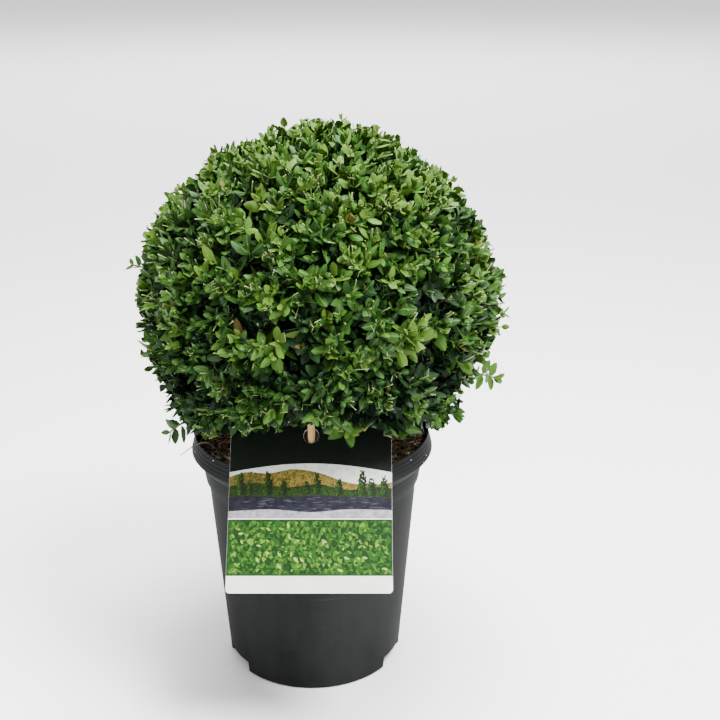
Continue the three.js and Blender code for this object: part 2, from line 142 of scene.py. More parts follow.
# The label and its print, on the card's own plane.
LABEL_WIDTH = 126
LABEL_HIGH = 40.8
LABEL_LOW = -90.2
LABEL_THICKNESS = 0.8
LABEL_CORNER = 3
LABEL_X = 2.7
LABEL_LEAN = math.radians(38)
LABEL_HOLE_RADIUS = 6
LABEL_HOLE_FROM_TOP = 8.7
CARD_WHITE = (226, 225, 220), (240, 239, 235)
INK = 0.035
PRINT_HALF = 62.9
HEAD_FROM_TOP = 40
BAND_FROM_TOP = 75
STRIP_FROM_TOP = 118
PRINT_FAR_HILLS = ((-63, -1), (-50, 4), (-34, 1), (-14, 6), (6, 3), (26, -5), (44, -8), (63, -5))
PRINT_HILLS = ((-63, -8), (-40, -5), (-20, -10), (6, -6), (30, -12), (48, -8), (63, -10))
PRINT_WATER = ((-63, -17), (-45, -15.5), (-20, -17.5), (5, -15), (30, -17), (48, -16), (63, -18))
PRINT_PATH = ((-63, -28), (-30, -26), (0, -29), (30, -26), (63, -27))
# Layers of ink, and two colours.
PRINT_LAYERS = {
    "sky": (1, (196, 206, 200), (232, 232, 222)),
    "far_hills": (1.6, (58, 70, 26), (128, 104, 46)),
    "hills": (2.1, (14, 30, 10), (40, 60, 18)),
    "water": (2.6, (16, 16, 24), (36, 36, 48)),
    "path": (3.1, (128, 124, 130), (176, 172, 176)),
    "head": (4.4, (4, 11, 7), (8, 17, 11)),
    "band": (1, (14, 46, 12), (28, 70, 16)),
}
# Trees: place of the foot, height and width.
PRINT_TREES = (
    (-54, -16, 18, 5), (-47, -16, 12, 4), (-33, -16, 20, 6), (-21, -16, 14, 5), (-3, -15, 11, 4),
    (5, -15, 17, 5.5), (22, -16, 13, 5), (40, -16, 21, 6), (47, -16, 14, 5), (57, -17, 17, 5),
)
PRINT_TREE_GREENS = (
    ((12, 26, 10), (22, 40, 14)),
    ((20, 42, 12), (34, 62, 16)),
    ((40, 70, 16), (66, 96, 24)),
)
# Upper and lower edge, number, lengths, width to length, tilt, top layer of ink, and tones.
PRINT_DABS = (
    (PRINT_FAR_HILLS, PRINT_HILLS, 620, (1.6, 2.8), 0.6, 1.57, 1.8, (1, 0, 2)),
    (PRINT_HILLS, PRINT_WATER, 420, (1.4, 2.4), 0.55, 1.57, 2.3, (4, 3)),
    (PRINT_WATER, PRINT_PATH, 70, (3.0, 8.0), 0.07, 0.02, 2.8, (5,)),
)
PRINT_HILL_TONES = (
    ((92, 66, 26), (128, 96, 40)),
    ((112, 98, 38), (150, 130, 62)),
    ((44, 60, 20), (76, 90, 34)),
    ((12, 26, 9), (20, 38, 12)),
    ((26, 48, 13), (48, 74, 22)),
    ((52, 54, 68), (84, 86, 100)),
)
PRINT_GREENS = (
    ((12, 38, 10), (20, 56, 12)),
    ((26, 66, 14), (42, 88, 18)),
    ((48, 92, 20), (70, 116, 28)),
    ((82, 122, 32), (108, 144, 44)),
    ((128, 156, 60), (160, 182, 84)),
)

# Sprigs of the green band: rows, sprigs in each, and the steps between them.
SPRIG_ROWS = 9
SPRIGS_PER_ROW = 26
SPRIG_STEP = 4.75

# The peg.
PEG_RADIUS = 3
PEG_LOW_Z = 180
PEG_TOP_Z = 257
PEG_DOME = 2.2
PEG_WOOD = (148, 112, 68), (206, 172, 118)

# Tufts of shoots: how many, how deep below the skin they end, and the number of shoots in each,
# from the first figure to one less than the second.
OUTER_TUFTS = 1040, (0, 5), (2, 5)
INNER_TUFTS = 620, (14, 46), (2, 4)
SPRAY_LENGTH = (27.0, 38.0)
SPRAY_LEAN = (0.18, 0.48)
TUFT_SCATTER = 0.16
# Degrees between the places where the ball's skin is measured.
SKIN_STEP = 3
# Where the ball's skin comes closer to its middle than this, above its hollow underside, nothing grows.
LEAST_REACH = 92
# The share of shoots that stand out past the clipped skin, and how far.
LONG_SHOOTS = 0.2
LONG_BY = 6
# How steep an aim counts as under the ball.
LOW_SIDE = -0.42
# Dark hollows in the skin, and the side where the crown is thin.
HOLLOW_SCALE = 7.5
HOLLOW_DEPTH = 15.0
THIN_FROM = 0.9
THIN_SHARE = 0.9
THIN_SIDE = np.array([0.83, -0.1, -0.55])

# Leaves. Those nearer to the skin than RIBBED_DEPTH have a paler rib.
LEAF_PAIRS = 6
PAIR_SPACING = 5.3
LEAF_LENGTH = 15.0
LEAF_WIDTH = 7.8
NOTCH = 0.02
RIB_HALF_WIDTH = 0.34
RIBBED_DEPTH = 13.0
# A shoot that ends the first figure's millimetres deeper below the skin is painted one step darker, by the
# second figure's number of tones: partly older leaves, partly painted shade inside the ball.
AGE_AND_SHADE_DEPTH = 26
TONES_PER_AGE_AND_SHADE = 7.5
DARKEST_TONE = 7
DEAD_TONE = 8
DEAD_LEAVES = 0.003
# A leaf is dropped with less than LEAST_BLADE of its length left, and whole with more than WHOLE. Some
# of those between have a dried edge.
LEAST_BLADE = 0.16
WHOLE = 0.97
DRIED_CUTS = 0.3

# Stems of shoots: the share that end in a dried cut, the share of the length that bears leaves, and
# how much thicker a stray shoot's stem is.
STEM_RADIUS = 0.55
STEM_BEND = 0.9
CUT_STEMS = 0.52
LEAFY_SHARE = 0.65
STRAY_STEM = 1.7
# Bare ends of clipped side shoots, on shoots that end less than STUB_DEPTH below the skin.
STUB_DEPTH = 9
STUB_SHARE = 0.62
STUBS_PER_SHOOT = 2
STUB_LENGTH = (10.0, 22.0)
SHORTEST_STUB = 4
STUB_RADIUS = 0.46
STUB_BEND = 0.5

# Branches and twigs. A fork stands back from its tufts by STAND_OFF at most.
TWIG_END_RADIUS = 0.85
THICK_TWIG = 1.5
FORK_SPREAD = 0.33
STAND_OFF = 112.0
LIMB_REACH = 25.0

MOST_TRIANGLES = 196000
UP = np.array([0, 0, 1.0])
SUNWARD = np.array([0, -0.8, 0.6])

# How far past the skin a stray shoot may reach, and how far its stem starts inside the frame's.
LONGEST_STRAY = 59
STRAY_ROOT = 16
# Each stray shoot: how far its tip stands back from the frame's, the gap between its leaf pairs, the
# turn from one pair to the next, its leaf size, how far it leans to the light, and its tone.
STRAYS = {
    "shoot_right_low": (8, 3.2, 90, 0.95, 0.3, 1),
    "shoot_right_mid": (5, 4.5, 90, 0.9, 0.25, 1),
    "shoot_left_high": (4, 6.0, 17, 0.9, 0.25, 2),
    "shoot_left_low": (8, 6.2, 17, 1.05, 0.25, 3),
    "shoot_front": (15, 3.2, 90, 1.1, 1.5, 1),
}

# Leaf colours, from fresh growth to old leaves and dead ones. The darkest tones also serve as painted shade
# inside and under the ball.
LEAF_TONES = {
    "fresh_yellow": (70, 99, 29),
    "fresh": (57, 90, 27),
    "bright": (43, 76, 25),
    "green": (35, 64, 23),
    "cool_green": (28, 52, 23),
    "deep": (21, 41, 20),
    "dark": (14, 30, 18),
    "old_blue": (14, 27, 22),
    "dead": (92, 76, 34),
}
RIB_TONES = {"fresh": (70, 104, 38), "old": (32, 60, 25)}
WOOD_TONES = {
    "cut_edge": (122, 132, 76),
    "branch_bark": (92, 78, 54),
    "twig_bark": (96, 88, 50),
    "shoot_green": (84, 112, 44),
    "stub_green": (118, 140, 86),
    "stub_end": (138, 148, 104),
}

# The frame's stem and boughs.
LIMBS = [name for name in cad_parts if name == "main_stem" or name.startswith("bough")]


# ------ small tools


def deselect():
    if bpy.context.mode != "OBJECT":
        bpy.ops.object.mode_set(mode="OBJECT")
    bpy.ops.object.select_all(action="DESELECT")


def only(piece):
    deselect()
    piece.select_set(True)
    bpy.context.view_layer.objects.active = piece


def named(piece, name):
    piece.name = name
    piece.data.name = name
    return piece


def apply_place(piece):
    only(piece)
    bpy.ops.object.transform_apply(location=True, rotation=True, scale=True)


def apply_modifiers(piece):
    only(piece)
    for modifier in list(piece.modifiers):
        bpy.ops.object.modifier_apply(modifier=modifier.name)


def soften(piece, width, segments, angle):
    """Rounds the edges sharper than angle, by a width in millimetres."""
    soft = piece.modifiers.new("soft_edges", "BEVEL")
    soft.width = width * MM
    soft.segments = segments
    soft.limit_method = "ANGLE"
    soft.angle_limit = math.radians(angle)
    apply_modifiers(piece)


def finish_look(piece, material):
    """Smooth all over, in one material."""
    only(piece)
    bpy.ops.object.shade_smooth()
    piece.data.materials.clear()
    piece.data.materials.append(material)


def smoothed(values, times):
    """The values with each inner one drawn toward its neighbours, that many times over."""
    for _ in range(times):
        values[1:-1] = (values[:-2] + 2 * values[1:-1] + values[2:]) / 4
    return values


def linear(rgb):
    """An sRGB colour of 0..255 as linear RGBA."""
    values = []
    for part in rgb:
        part = part / 255
        values.append(part / 12.92 if part <= 0.04045 else ((part + 0.055) / 1.055) ** 2.4)
    return (*values, 1.0)


def unit(vectors):
    length = np.linalg.norm(vectors, axis=-1, keepdims=True)
    return vectors / np.maximum(length, 1e-9)


def lumps(place, size, shift=0.0):
    """Smooth noise at a place, with lumps of the given size along each axis."""
    x, y, z = (at / step for at, step in zip(place, size))
    return noise.noise(Vector((x, y, z + shift)))


def mesh_piece(name, places, faces, materials, slots=None, smooth=True):
    """One joined mesh from arrays: places in millimetres, faces as a list of index arrays."""
    mesh = bpy.data.meshes.new(name)
    places = np.asarray(places, np.float64) * MM
    counts = np.concatenate([np.full(len(block), block.shape[1]) for block in faces])
    loops = np.concatenate([block.ravel() for block in faces])
    mesh.vertices.add(len(places))
    mesh.vertices.foreach_set("co", places.astype(np.float32).ravel())
    mesh.loops.add(len(loops))
    mesh.loops.foreach_set("vertex_index", loops.astype(np.int32))
    mesh.polygons.add(len(counts))
    starts = np.concatenate([[0], np.cumsum(counts)[:-1]])
    mesh.polygons.foreach_set("loop_start", starts.astype(np.int32))
    mesh.polygons.foreach_set("loop_total", counts.astype(np.int32))
    for material in materials:
        mesh.materials.append(material)
    if slots is not None:
        mesh.polygons.foreach_set("material_index", np.asarray(slots, np.int32))
    mesh.polygons.foreach_set("use_smooth", np.full(len(counts), smooth))
    mesh.update(calc_edges=True)
    mesh.validate()
    piece = bpy.data.objects.new(name, mesh)
    scene.collection.objects.link(piece)
    return piece


# ------ materials


def principled(name, rgb, roughness, **sockets):
    material = bpy.data.materials.new(name)
    material.use_nodes = True
    shader = material.node_tree.nodes["Principled BSDF"]
    shader.inputs["Base Color"].default_value = linear(rgb)
    shader.inputs["Roughness"].default_value = roughness
    for socket, value in sockets.items():
        shader.inputs[socket.replace("_", " ")].default_value = value
    return material, material.node_tree, shader


def add_node(tree, kind, values, sources):
    """A shader node with its plain values set and its inputs linked to other nodes' outputs."""
    node = tree.nodes.new("ShaderNode" + kind)
    for socket, value in values.items():
        node.inputs[socket].default_value = value
    for socket, source in sources.items():
        tree.links.new(source, node.inputs[socket])
    return node


def add_noise(tree, scale, detail, stretch=(1, 1, 1), turn=(0, 0, 0), roughness=0.5):
    """Noise over the piece's own coordinates. stretch is how much closer it repeats along each axis."""
    place = add_node(tree, "TexCoord", {}, {}).outputs["Object"]
    moved = add_node(tree, "Mapping", {"Rotation": turn, "Scale": stretch}, {"Vector": place})
    values = {"Scale": scale, "Detail": detail, "Roughness": roughness}
    return add_node(tree, "TexNoise", values, {"Vector": moved.outputs["Vector"]}).outputs["Fac"]


def add_ramp(tree, factor, stops):
    """Colours that run from one to the other between two values of factor."""
    ramp = add_node(tree, "ValToRGB", {}, {"Fac": factor})
    for element, (position, colour) in zip(ramp.color_ramp.elements, stops):
        element.position = position
        element.color = colour
    return ramp.outputs["Color"]


def add_gloss(tree, shader, factor, span):
    """Roughness that varies with factor."""
    gloss = add_node(tree, "MapRange", span, {"Value": factor})
    tree.links.new(gloss.outputs["Result"], shader.inputs["Roughness"])


def add_bump(tree, shader, height, strength, distance):
    """A fine relief, with its depth in metres."""
    bump = add_node(tree, "Bump", {"Strength": strength, "Distance": distance}, {"Height": height})
    tree.links.new(bump.outputs["Normal"], shader.inputs["Normal"])


def leaf_material(name, rgb):
    """A plain leaf colour under a waxy skin whose gloss and relief vary finely."""
    material, tree, shader = principled(name, rgb, 0.45, Specular_IOR_Level=0.15)
    grain = add_noise(tree, 420, 2)
    add_gloss(tree, shader, grain, {"From Min": 0.3, "From Max": 0.7, "To Min": 0.38, "To Max": 0.64})
    add_bump(tree, shader, grain, 0.35, 0.0006)
    return material


def mottled(name, low, high, scale, roughness, relief=0.0, stretch=(1, 1, 1), detail=4, **sockets):
    """Two colours mixed by noise, with gloss that varies and a fine relief in metres."""
    material, tree, shader = principled(name, low, roughness, **sockets)
    grain = add_noise(tree, scale, detail, stretch, roughness=0.6)
    blend = add_ramp(tree, grain, ((0.34, linear(low)), (0.68, linear(high))))
    tree.links.new(blend, shader.inputs["Base Color"])
    add_gloss(tree, shader, grain, {"To Min": roughness - 0.1, "To Max": min(1, roughness + 0.12)})
    if relief:
        add_bump(tree, shader, grain, 1, relief)
    return material


def inks(name, tones, scale):
    """One material for each tone of a print."""
    return [
        mottled(f"{name}_{i + 1}", dark, pale, scale, 0.5, Specular_IOR_Level=0.15)
        for i, (dark, pale) in enumerate(tones)
    ]


def pot_material():
    """Recycled black plastic: faint flow lines down the wall, soft blotches and a few pale scuffs."""
    material = mottled("pot_plastic", POT_DARK, POT_PALE, 16, 0.6, 0, (1, 1, 0.35), Specular_IOR_Level=0.02)
    tree = material.node_tree
    shader = tree.nodes["Principled BSDF"]
    blotches = shader.inputs["Base Color"].links[0].from_socket
    scratches = add_noise(tree, 55, 6, (0.25, 1, 3.2), (0.35, 0.5, 0))
    marks = add_ramp(tree, scratches, ((0.66, (0, 0, 0, 1)), (0.8, (0.35, 0.35, 0.35, 1))))
    mix = tree.nodes.new("ShaderNodeMix")
    mix.data_type = "RGBA"
    mix.inputs[7].default_value = linear(POT_SCUFF)
    tree.links.new(marks, mix.inputs[0])
    tree.links.new(blotches, mix.inputs[6])
    tree.links.new(mix.outputs[2], shader.inputs["Base Color"])
    add_bump(tree, shader, add_noise(tree, 260, 3, (1, 1, 0.06)), 0.5, 0.0002)
    return material


# ------ camera, light and floor


def make_camera():
    data = bpy.data.cameras.new("camera")
    data.lens = CAMERA_LENS
    data.sensor_width = CAMERA_SENSOR
    camera = bpy.data.objects.new("camera", data)
    camera.location = CAMERA_PLACE
    camera.rotation_euler = (math.pi / 2 - CAMERA_PITCH, 0, 0)
    scene.collection.objects.link(camera)
    scene.camera = camera


def make_light():
    world = bpy.data.worlds.new("studio")
    scene.world = world
    world.use_nodes = True
    world.node_tree.nodes["Background"].inputs["Color"].default_value = (1, 1, 1, 1)
    world.node_tree.nodes["Background"].inputs["Strength"].default_value = SKY_STRENGTH
    for name, (place, aim, size, power) in LAMPS.items():
        data = bpy.data.lights.new(name, "AREA")
        data.shape = "DISK"
        data.size = size
        data.energy = power
        lamp = bpy.data.objects.new(name, data)
        lamp.location = place
        lamp.rotation_euler = (Vector(aim) - Vector(place)).to_track_quat("-Z", "Y").to_euler()
        scene.collection.objects.link(lamp)


def make_floor():
    deselect()
    bpy.ops.mesh.primitive_plane_add(size=FLOOR_SIZE, location=(0, 0, 0))
    floor = named(bpy.context.object, "floor")
    floor.data.materials.append(principled("floor_white", (250, 250, 250), 0.9)[0])


# ------ the pot


def select_where(test):
    """In edit mode, selects the vertices for which test(place in mm) is true."""
    bpy.ops.object.mode_set(mode="OBJECT")
    mesh = bpy.context.object.data
    for part in (mesh.polygons, mesh.edges, mesh.vertices):
        for item in part:
            item.select = False
    for vertex in mesh.vertices:
        vertex.select = test(vertex.co / MM)
    bpy.ops.object.mode_set(mode="EDIT")


def turned(name, outline, segments):
    """A closed solid turned about Z from (radius, height) points in millimetres, ring by ring."""
    deselect()
    radius, height = outline[0]
    bpy.ops.mesh.primitive_circle_add(vertices=segments, radius=radius * MM, location=(0, 0, height * MM))
    piece = named(bpy.context.object, name)
    apply_place(piece)
    bpy.ops.object.mode_set(mode="EDIT")
    bpy.ops.mesh.select_all(action="SELECT")
    for radius_next, height_next in outline[1:]:
        lift = (height_next - height) * MM
        bpy.ops.mesh.extrude_region_move(TRANSFORM_OT_translate={"value": (0, 0, lift)})
        size = radius_next / radius
        bpy.ops.transform.resize(value=(size, size, 1), center_override=(0, 0, height_next * MM))
        radius, height = radius_next, height_next
    bpy.ops.mesh.select_all(action="DESELECT")
    bpy.ops.mesh.select_non_manifold()
    bpy.ops.mesh.fill_holes(sides=0)
    bpy.ops.mesh.select_all(action="SELECT")
    bpy.ops.mesh.normals_make_consistent(inside=False)
    bpy.ops.object.mode_set(mode="OBJECT")
    return piece


def leaning_ridges(low, high, count, depth):
    """Points of fine concentric ridges up a band from low to high, both (radius, height)."""
    points = []
    for step in range(count):
        for part, dip in ((0, 0), (0.08, depth), (0.3, depth), (0.38, 0)):
            share = (step + part) / count
            points.append((low[0] + (high[0] - low[0]) * share - dip, low[1] + (high[1] - low[1]) * share))
    return points


def inside_of_pot(gap):
    """The inside of the pot's wall from the rim down to the foot, moved in and up by gap."""
    return [
        (RIM_INNER_RADIUS - gap, RIM_Z + gap),
        (COLLAR_TOP_RADIUS - WALL - gap, SHOULDER_Z + WALL + gap),
        (COLLAR_LOW_RADIUS - WALL - gap, STEP_Z + WALL + gap),
        (WALL_TOP_RADIUS - WALL - gap, NECK_Z + WALL + gap),
        (INNER_LOW_RADIUS - gap, FOOT_INNER_Z + WALL + gap),
        (FOOT_INNER_RADIUS - gap, FOOT_INNER_Z + gap),
    ]


def wall_radius(z):
    share = (z - FOOT_CHAMFER) / (NECK_Z - FOOT_CHAMFER)
    return WALL_LOW_RADIUS + (WALL_TOP_RADIUS - WALL_LOW_RADIUS) * share


def pot_outline():
    """The pot's section: out along the underside, up the outside, over the rim and down the inside."""
    top = POT_HEIGHT
    foot = [(1, 0), (60, 0), (FOOT_RADIUS, 0), (WALL_LOW_RADIUS, FOOT_CHAMFER)]
    wall = [(wall_radius(z), z) for z in (RECESS_HEIGHT, RECESS_HEIGHT + 0.3, 60, 110, NECK_Z)]
    neck = [(WALL_TOP_RADIUS + 0.35, NECK_Z + 4.5), (NECK_RADIUS, STEP_Z)]
    collar = [(COLLAR_LOW_RADIUS, STEP_Z + STEP_RISE)]
    for share, dip in ((0.62, 0), (0.67, 0.16), (0.72, 0), (0.86, 0), (0.9, 0.16), (0.94, 0)):
        radius = COLLAR_LOW_RADIUS + (COLLAR_TOP_RADIUS - COLLAR_LOW_RADIUS) * share - dip
        collar.append((radius, STEP_Z + STEP_RISE + (SHOULDER_Z - STEP_Z - STEP_RISE) * share))
    shoulder = [(COLLAR_TOP_RADIUS, SHOULDER_Z), (RIM_RADIUS - 0.4, RIM_Z - 0.3), (RIM_RADIUS, RIM_Z + 0.4)]
    rim = leaning_ridges((RIM_RADIUS, RIM_Z + RIM_BAND), (LIP_RADIUS, top - LIP_ROUNDING), 4, RIDGE_DEPTH)
    lip = [(LIP_RADIUS, top - LIP_ROUNDING), (LIP_RADIUS - LIP_ROUNDING, top)]
    inside = [(RIM_INNER_RADIUS, top - LIP_ROUNDING), *inside_of_pot(0)]
    floor = [(FOOT_INNER_RADIUS, FLOOR), (1, FLOOR)]
    return foot + wall + neck + collar + shoulder + rim + lip + inside + floor


def in_recess(place):
    """On the outside of the foot, within one of the recesses."""
    low = place.z < RECESS_HEIGHT + 0.1
    out = math.hypot(place.x, place.y) > FOOT_RADIUS - 1
    turn = math.degrees(math.atan2(place.y, place.x))
    return low and out and any(abs((turn - at + 180) % 360 - 180) < RECESS_HALF_ANGLE for at in RECESS_ANGLES)


def make_pot():
    pot = turned("pot_body", pot_outline(), POT_SEGMENTS)
    only(pot)
    bpy.ops.object.mode_set(mode="EDIT")
    select_where(in_recess)
    size = (WALL_LOW_RADIUS - RECESS_DEPTH) / WALL_LOW_RADIUS
    bpy.ops.transform.resize(value=(size, size, 1), center_override=(0, 0, 0))
    bpy.ops.object.mode_set(mode="OBJECT")
    soften(pot, 0.35, 2, 28)
    bpy.ops.object.shade_smooth_by_angle(angle=math.radians(32))
    pot.data.materials.append(pot_material())
    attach(pot, "root")
    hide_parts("pot")


# ------ the potting mix


def mix_height(x, y):
    """Height of the potting mix's surface, in millimetres."""
    out = min(1, max(0, (math.hypot(x, y) - MIX_LEVEL_RADIUS) / MIX_LEVEL_RADIUS))
    swell = lumps((x, y, 0), MIX_SWELL, 4)
    crumbs = lumps((x, y, 0), MIX_CRUMB, 9) + 0.6 * lumps((x, y, 0), MIX_GRIT, 2)
    return MIX_Z + out * (1.3 * swell - 0.5) + (0.3 + 0.7 * out) * 0.8 * crumbs


def make_mix():
    """The body of the mix up the inside of the pot, with a crumbly top."""
    gap = MIX_GAP
    outline = [(1, FLOOR + gap), (FOOT_INNER_RADIUS - gap, FLOOR + gap), *reversed(inside_of_pot(gap))]
    outline.append((RIM_INNER_RADIUS - gap, MIX_Z - 1))
    rings = 52
    outline += [((RIM_INNER_RADIUS - 1.2) * (1 - step / rings), MIX_Z) for step in range(rings)]
    mix = turned("mix_body", outline, 180)
    for vertex in mix.data.vertices:
        if vertex.co.z > (MIX_Z - 0.5) * MM:
            vertex.co.z = mix_height(vertex.co.x / MM, vertex.co.y / MM) * MM
    mix.data.update()
    finish_look(mix, mottled("peat", *PEAT, 180, 0.95, 0.0012, detail=6, Specular_IOR_Level=0.2))
    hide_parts("potting_mix")
    rng = np.random.default_rng(SEED + 1)
    for piece in [mix, *make_chips(rng), make_fibres(rng), make_perlite(rng), make_stalk()]:
        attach(piece, "root")


def scatter(count, rng):
    """Places on the mix's surface, more of them near the rim where it shows, in millimetres."""
    radius = MIX_CHIP_RADIUS * rng.uniform(0.1, 1, count) ** 0.45
    turn = rng.uniform(0, 2 * math.pi, count)
    x, y = radius * np.cos(turn), radius * np.sin(turn)
    z = np.array([mix_height(*place) for place in zip(x, y)])
    return np.stack([x, y, z], 1)


def turned_axes(count, tilt, rng):
    """Three axes of random heading and a small random tilt, for each of count small pieces."""
    heading = rng.uniform(0, 2 * math.pi, count)
    lean = rng.normal(0, tilt, count)
    along = np.stack([np.cos(heading) * np.cos(lean), np.sin(heading) * np.cos(lean), np.sin(lean)], 1)
    up = UP + rng.normal(0, tilt, (count, 3))
    across = unit(np.cross(up, along))
    return along, across, np.cross(along, across)


CHIP_FACES = np.array([(0, 3, 2, 1), (4, 5, 6, 7), (0, 1, 5, 4), (1, 2, 6, 5), (2, 3, 7, 6), (3, 0, 4, 7)])


def make_chips(rng):
    """Bark chips: irregular slivers with split ends, in four woody colours."""
    made = []
    for name, low, high, count, long, wide in CHIPS:
        middle = scatter(count, rng) + np.array([0, 0, 0.5])
        along, across, up = turned_axes(count, 0.24, rng)
        length = rng.uniform(*long, count)
        width = rng.uniform(*wide, count)
        thickness = rng.uniform(0.5, 1.5, count)
        length = np.minimum(length, 2 * (MIX_CHIP_RADIUS + 1 - np.hypot(middle[:, 0], middle[:, 1])) + 3)
        corners = []
        for k in range(8):
            sx = -1 if k % 4 in (0, 3) else 1
            sy = -1 if k % 4 in (0, 1) else 1
            sz = -1 if k < 4 else 1
            ragged = rng.uniform(0.55, 1.1, (count, 3))
            corners.append(
                middle
                + along * (sx * length / 2 * ragged[:, 0])[:, None]
                + across * (sy * width / 2 * ragged[:, 1])[:, None]
                + up * (sz * thickness / 2 * ragged[:, 2])[:, None]
            )
        places = np.stack(corners, 1).reshape(-1, 3)
        faces = (np.arange(count) * 8)[:, None, None] + CHIP_FACES[None]
        bark = mottled("chip_" + name, low, high, 420, 0.85, 0.0004, detail=5)
        made.append(mesh_piece("chips_" + name, places, [faces.reshape(-1, 4)], [bark], smooth=False))
    return made


def make_fibres(rng):
    """Fine roots and coir that lie over the mix."""
    count = FIBRES
    start = scatter(count, rng) + np.array([0, 0, 0.6])
    along, across, _ = turned_axes(count, 0.12, rng)
    room = RIM_INNER_RADIUS - np.hypot(start[:, 0], start[:, 1])
    length = np.minimum(rng.uniform(8, 26, count), 2 * room)
    bow = rng.normal(0, 0.16, count) * length
    steps = np.linspace(-0.5, 0.5, 5)
    path = []
    for step in steps:
        lift = 1.1 * np.cos(step * math.pi) + rng.normal(0, 0.25, count)
        sweep = bow * (step**2 - 0.25) * 4
        spot = start + along * (length * step)[:, None] + across * sweep[:, None]
        path.append(spot + UP * lift[:, None])
    radii = rng.uniform(0.18, 0.42, count)[:, None] * np.array([0.5, 0.9, 1, 0.9, 0.4])[None]
    return tubes("mix_fibres", np.stack(path, 1), radii, 4, [mottled("coir", *COIR, 300, 0.85)])


def make_perlite(rng):
    """White specks of perlite in the mix, and a few that fell on the rim."""
    count = PERLITE_IN_MIX
    place = scatter(count, rng) + np.array([0, 0, 0.7])
    turn = rng.uniform(0, 2 * math.pi, PERLITE_ON_RIM)
    share = rng.uniform(0, 1, PERLITE_ON_RIM)
    radius = RIM_RADIUS + (LIP_RADIUS - RIM_RADIUS) * share + 0.1
    height = RIM_Z + RIM_BAND + (POT_HEIGHT - RIM_Z - RIM_BAND) * share
    on_rim = np.stack([radius * np.cos(turn), radius * np.sin(turn), height], 1)
    place = np.concatenate([place, on_rim])
    size = np.concatenate([rng.uniform(0.4, 1.2, count), rng.uniform(0.3, 0.75, PERLITE_ON_RIM)])
    deselect()
    bpy.ops.mesh.primitive_ico_sphere_add(subdivisions=1, radius=1)
    grain = bpy.context.object
    corners = np.array([tuple(v.co) for v in grain.data.vertices])
    faces = np.array([tuple(p.vertices) for p in grain.data.polygons])
    bpy.data.objects.remove(grain)
    ragged = rng.uniform(0.6, 1.25, (len(place), len(corners), 1))
    places = place[:, None] + corners[None] * ragged * size[:, None, None]
    index = (np.arange(len(place)) * len(corners))[:, None, None] + faces[None]
    white = mottled("perlite", *PERLITE, 900, 0.9)
    return mesh_piece("mix_perlite", places.reshape(-1, 3), [index.reshape(-1, 3)], [white], smooth=False)


def make_stalk():
    """A dry stalk that lies from the mix over the left of the rim."""
    route = np.array(STALK)
    share = np.linspace(0, len(route) - 1, 25)
    path = np.stack([np.interp(share, np.arange(len(route)), route[:, axis]) for axis in range(3)], 1)
    path = smoothed(path, 4)
    radii = np.interp(np.linspace(0, 1, len(path)), (0, 0.6, 1), (0.5, 0.7, 0.35))[None]
    return tubes("dry_stalk", path[None], radii, 6, [mottled("straw", *STRAW, 500, 0.85)])


# ------ the trunk and boughs


def make_trunk():
    """The trunk and boughs as one skin with the bark's relief: fine upright furrows and small plates."""
    deselect()
    copies = []
    for name in LIMBS:
        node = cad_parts[name]
        copy = bpy.data.objects.new("limb", node.data.copy())
        copy.data.transform(node.matrix_world)
        scene.collection.objects.link(copy)
        copies.append(copy)
    for copy in copies:
        copy.select_set(True)
    bpy.context.view_layer.objects.active = copies[0]
    bpy.ops.object.join()
    trunk = named(bpy.context.object, "trunk_and_boughs")
    bpy.ops.object.mode_set(mode="EDIT")
    bpy.ops.mesh.select_all(action="SELECT")
    bpy.ops.mesh.remove_doubles(threshold=0.01 * MM)
    bpy.ops.object.mode_set(mode="OBJECT")
    skin = trunk.modifiers.new("skin", "REMESH")
    skin.mode = "VOXEL"
    skin.voxel_size = BARK_CELL * MM
    apply_modifiers(trunk)
    mesh = trunk.data
    for vertex in mesh.vertices:
        place = vertex.co / MM
        furrow = abs(lumps(place, FURROW))
        plate = lumps(place, PLATE, 20)
        depth = (0.55 * furrow + 0.25 * plate) - 0.2
        vertex.co += vertex.normal * depth * MM
        vertex.co.z = max(vertex.co.z, TRUNK_FOOT_Z * MM)
    mesh.update()
    finish_look(trunk, mottled("bark", *BARK, 210, 0.88, 0.0009, (1, 1, 0.3), 6))
    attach(trunk, "root")
    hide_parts("main_stem", *[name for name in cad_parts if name.startswith("bough")])


# ------ the label


def label_frame():
    """The card's own frame: x across, y up the card and z out of its face, from where it meets the rim."""
    out = Vector((0, -math.cos(LABEL_LEAN), math.sin(LABEL_LEAN)))
    rest = Vector((LABEL_X, LIP_ROUNDING - LIP_RADIUS, POT_HEIGHT)) + out * GAP
    return Matrix.Translation(rest * MM) @ Matrix.Rotation(math.pi / 2 - LABEL_LEAN, 4, "X")


def hole_place(height):
    """The middle of the card's hole, at a height over the card's back in millimetres."""
    return label_frame() @ Vector((0, (LABEL_HIGH - LABEL_HOLE_FROM_TOP) * MM, height * MM))


def arc(middle, radius, start, end, steps=8):
    """Points round an arc, in degrees."""
    turns = np.radians(np.linspace(start, end, steps))
    return [(middle[0] + radius * math.cos(turn), middle[1] + radius * math.sin(turn)) for turn in turns]


def card_outline():
    """The card with its round corners."""
    half = LABEL_WIDTH / 2 - LABEL_CORNER
    low = LABEL_LOW + LABEL_CORNER
    high = LABEL_HIGH - LABEL_CORNER
    return (
        arc((half, low), LABEL_CORNER, -90, 0) + arc((half, high), LABEL_CORNER, 0, 90)
        + arc((-half, high), LABEL_CORNER, 90, 180) + arc((-half, low), LABEL_CORNER, 180, 270)
    )


def card_hole(grow=0.0):
    return arc((0, LABEL_HIGH - LABEL_HOLE_FROM_TOP), LABEL_HOLE_RADIUS + grow, 0, 350, 36)


